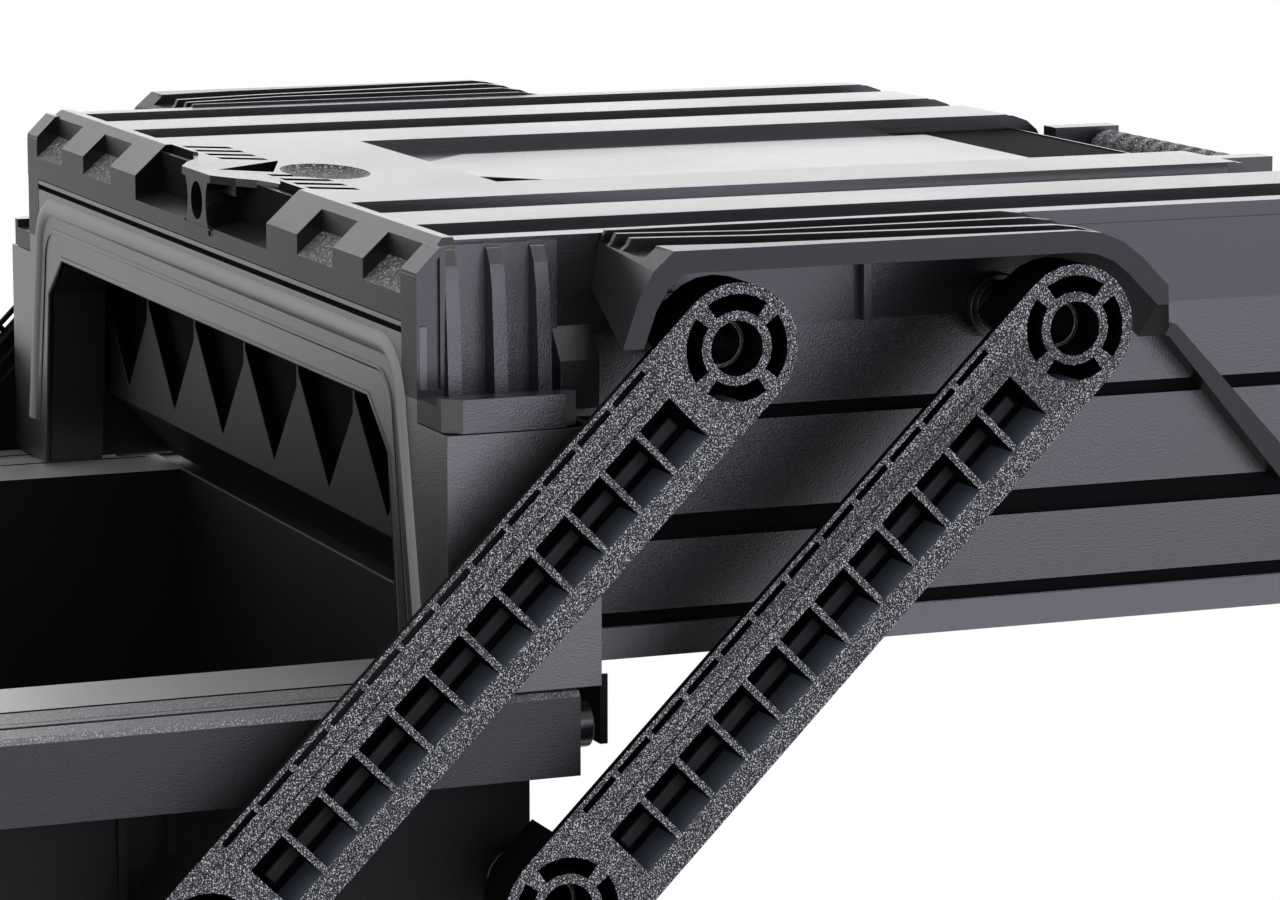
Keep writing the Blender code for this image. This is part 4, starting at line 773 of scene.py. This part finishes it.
def make_arm(end, side, node):
    """An arm: grained outside with one band painted darker as shade, a stepped rail along its upper edge, and
    windows painted black as shade, with smooth walls and a bluish painted reflection on one ledge.
    """
    arm = solid_copy(node)
    relief = [arm_bar("rail relief", end, side, (17, 263), across, (293, deep)) for across, deep in RELIEF]
    relief.append(arm_bar("band line", end, side, (30, 250), (12.2, 13.0), (316.7, 320)))
    combine(arm, "DIFFERENCE", relief)
    round_edges(arm, 0.0008, 2, 28, 20)
    dress(arm, node)
    # Painted shade: one band of the arm's outer face gets the darker grain.
    paint(arm, SHADED_COARSE_ARM, lambda face: abs(face.center.x) > OUTER_FACE and 7 < arm_across(end, face) < 12.4)
    # Painted shade: everything inside the outer face, the windows included, is painted black.
    paint(arm, SHADE_BLACK, lambda face: abs(face.center.x) < OUTER_FACE)
    # Painted reflection: the up-facing ledge low in the windows gets a bluish colour.
    paint(arm, PAINTED_BLUE_REFLECTION, lambda face: abs(face.center.x) < OUTER_FACE and -15 < arm_across(end, face) < -13
          and face.normal.z > 0.5)
    rail = arm_bar(node + "_window_rail", end, side, (32, 248), (-9.0, -3.4), (298.6, 304))
    finish_piece(round_edges(rail, 0.0010, 3), BODY_OF[node], RAIL)


def make_pin(node, side):
    """A pivot pin that ends deep inside its bore."""
    pin = solid_copy(node)
    combine(pin, "DIFFERENCE", [side_block("bore", side, (302, 330), (-450, 450), (-300, 0))])
    dress(round_edges(pin, 0.0006), node)


# Base

RIM_GROOVE = 251.0
BAND_GROOVE = 275.6
RIM_LEVEL = TOP_Z - 0.162
BAND_LEVEL = TOP_Z - 0.165
# Below this height the skirt's wall is painted dark as shade.
SHADE_PAINTED_BELOW = TOP_Z - 0.193
WALL_RIBS = (-326, -308, -126, -108)


def make_bin():
    """The bin: a rim strip painted light from above with a groove along each side, a pebbled shoulder painted
    light with glints, and walls painted dark as shade.
    """
    tub = solid_copy("bin")
    lines = [side_block("rim groove", side, (RIM_GROOVE - 1.3, RIM_GROOVE + 1.3), (-411, 36), (-163, -159))
             for side in SIDES.values()]
    lines.append(block("rear rim", (-268, 42.6, -163), (268, 60, -159)))
    combine(tub, "DIFFERENCE", lines)
    round_edges(tub, 0.0006, 2)
    # Painted shade: the bin is painted dark before its top faces are painted.
    dress(tub, "bin", SHADE_DARKENED_INNER)
    # Painted light: up-facing rim faces above RIM_LEVEL are painted light; the rear rim, cut below it, keeps
    # the painted shade.
    paint(tub, TOP_LIT_RIM, lambda face: face.normal.z > 0.8 and face.center.z > RIM_LEVEL)
    # Painted light with painted glints on the up-facing faces outward of the rim groove.
    paint(tub, TOP_LIT_SHOULDER, lambda face: face.normal.z > 0.5 and face.center.z > RIM_LEVEL
          and abs(face.center.x) > 0.2515)


def make_skirt(side, node):
    """A side skirt: a grooved pebbled band on top painted light with glints, and a ribbed wall below painted
    dark as the shade under the band.
    """
    band = solid_copy(node)
    width = (BAND_GROOVE - 1.6, BAND_GROOVE + 1.6)
    combine(band, "DIFFERENCE", [side_block("band groove", side, width, (-411.5, 46), (-163.5, -158))])
    ribs = [side_block("wall rib", side, (264, 267.5), (middle - 1.7, middle + 1.7), (-338, -193))
            for middle in WALL_RIBS]
    combine(band, "UNION", ribs)
    round_edges(band, 0.0009, 2)
    dress(band, node, SKIRT)
    # Painted light with painted glints on the band's up-facing top faces.
    paint(band, TOP_LIT_SHOULDER, lambda face: face.normal.z > 0.5 and face.center.z > BAND_LEVEL)
    # Painted shade: the wall below the band is painted near black.
    paint(band, SHADE_PAINTED_LOWER_WALL, lambda face: face.center.z < SHADE_PAINTED_BELOW)


TREAD_GROOVES = 36
TREAD_DEPTH = 3.5


def make_tyre(node):
    """A tyre with short tread grooves cut from both shoulders in turn."""
    tyre = solid_copy(node)
    low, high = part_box(node)
    middle = measured((low + high) / 2)
    inner, outer = sorted((measured(low)[0], measured(high)[0]))
    reach = (high.z - low.z) / 2 / MM
    grooves = []
    floor, clear = reach - TREAD_DEPTH, reach + 2
    for turn in range(TREAD_GROOVES):
        at = math.radians(360 / TREAD_GROOVES * turn)
        ahead, across = (math.cos(at), math.sin(at)), (-math.sin(at), math.cos(at))
        outline = [tuple(middle[1 + k] + far * ahead[k] + wide * across[k] for k in (0, 1))
                   for far, wide in ((floor, -1.6), (clear, -2), (clear, 2), (floor, 1.6))]
        span = (inner - 1, middle[0] - 2) if turn % 2 else (middle[0] + 2, outer + 1)
        grooves.append(sketch("tread groove", "X", outline, span))
    combine(tyre, "DIFFERENCE", [join("tread", grooves)])
    dress(round_edges(tyre, 0.0008, 2, 30, 25), node)


# What is left keeps its solid's shape with rounded edges
EDGE_WIDTH = {"rear_grip": 0.0004, "deck_panel": 0.0004, "handle_button": 0.0008}
PLAIN_EDGE = 0.0006

add_camera()
add_floor()
add_room()
add_lamps()
make_lid()
make_cover_walls()
make_arch_frame()
make_front_beads()
make_cross_rail()
make_bin()
made = {"lid", "arch_frame", "cover_walls", "cross_rail", "arch_gasket", "bin"}
for hand, side in SIDES.items():
    make_skirt(side, "side_skirt_" + hand)
    made.add("side_skirt_" + hand)
for hand, side in SIDES.items():
    make_hood(side, "arm_hood_" + hand)
    made.add("arm_hood_" + hand)
    for end in ARM_FOOT:
        make_arm(end, side, f"{end}_arm_{hand}")
        made.add(f"{end}_arm_{hand}")
        for level in ("upper", "lower"):
            make_pin(f"{end}_{level}_pin_{hand}", side)
            made.add(f"{end}_{level}_pin_{hand}")
for hand in SIDES:
    make_tyre("tyre_" + hand)
    made.add("tyre_" + hand)
for name in NODES:
    if name not in made:
        surface = SMOOTH if name.startswith("guide_tube") else None
        dress(round_edges(solid_copy(name), EDGE_WIDTH.get(name, PLAIN_EDGE)), name, surface)
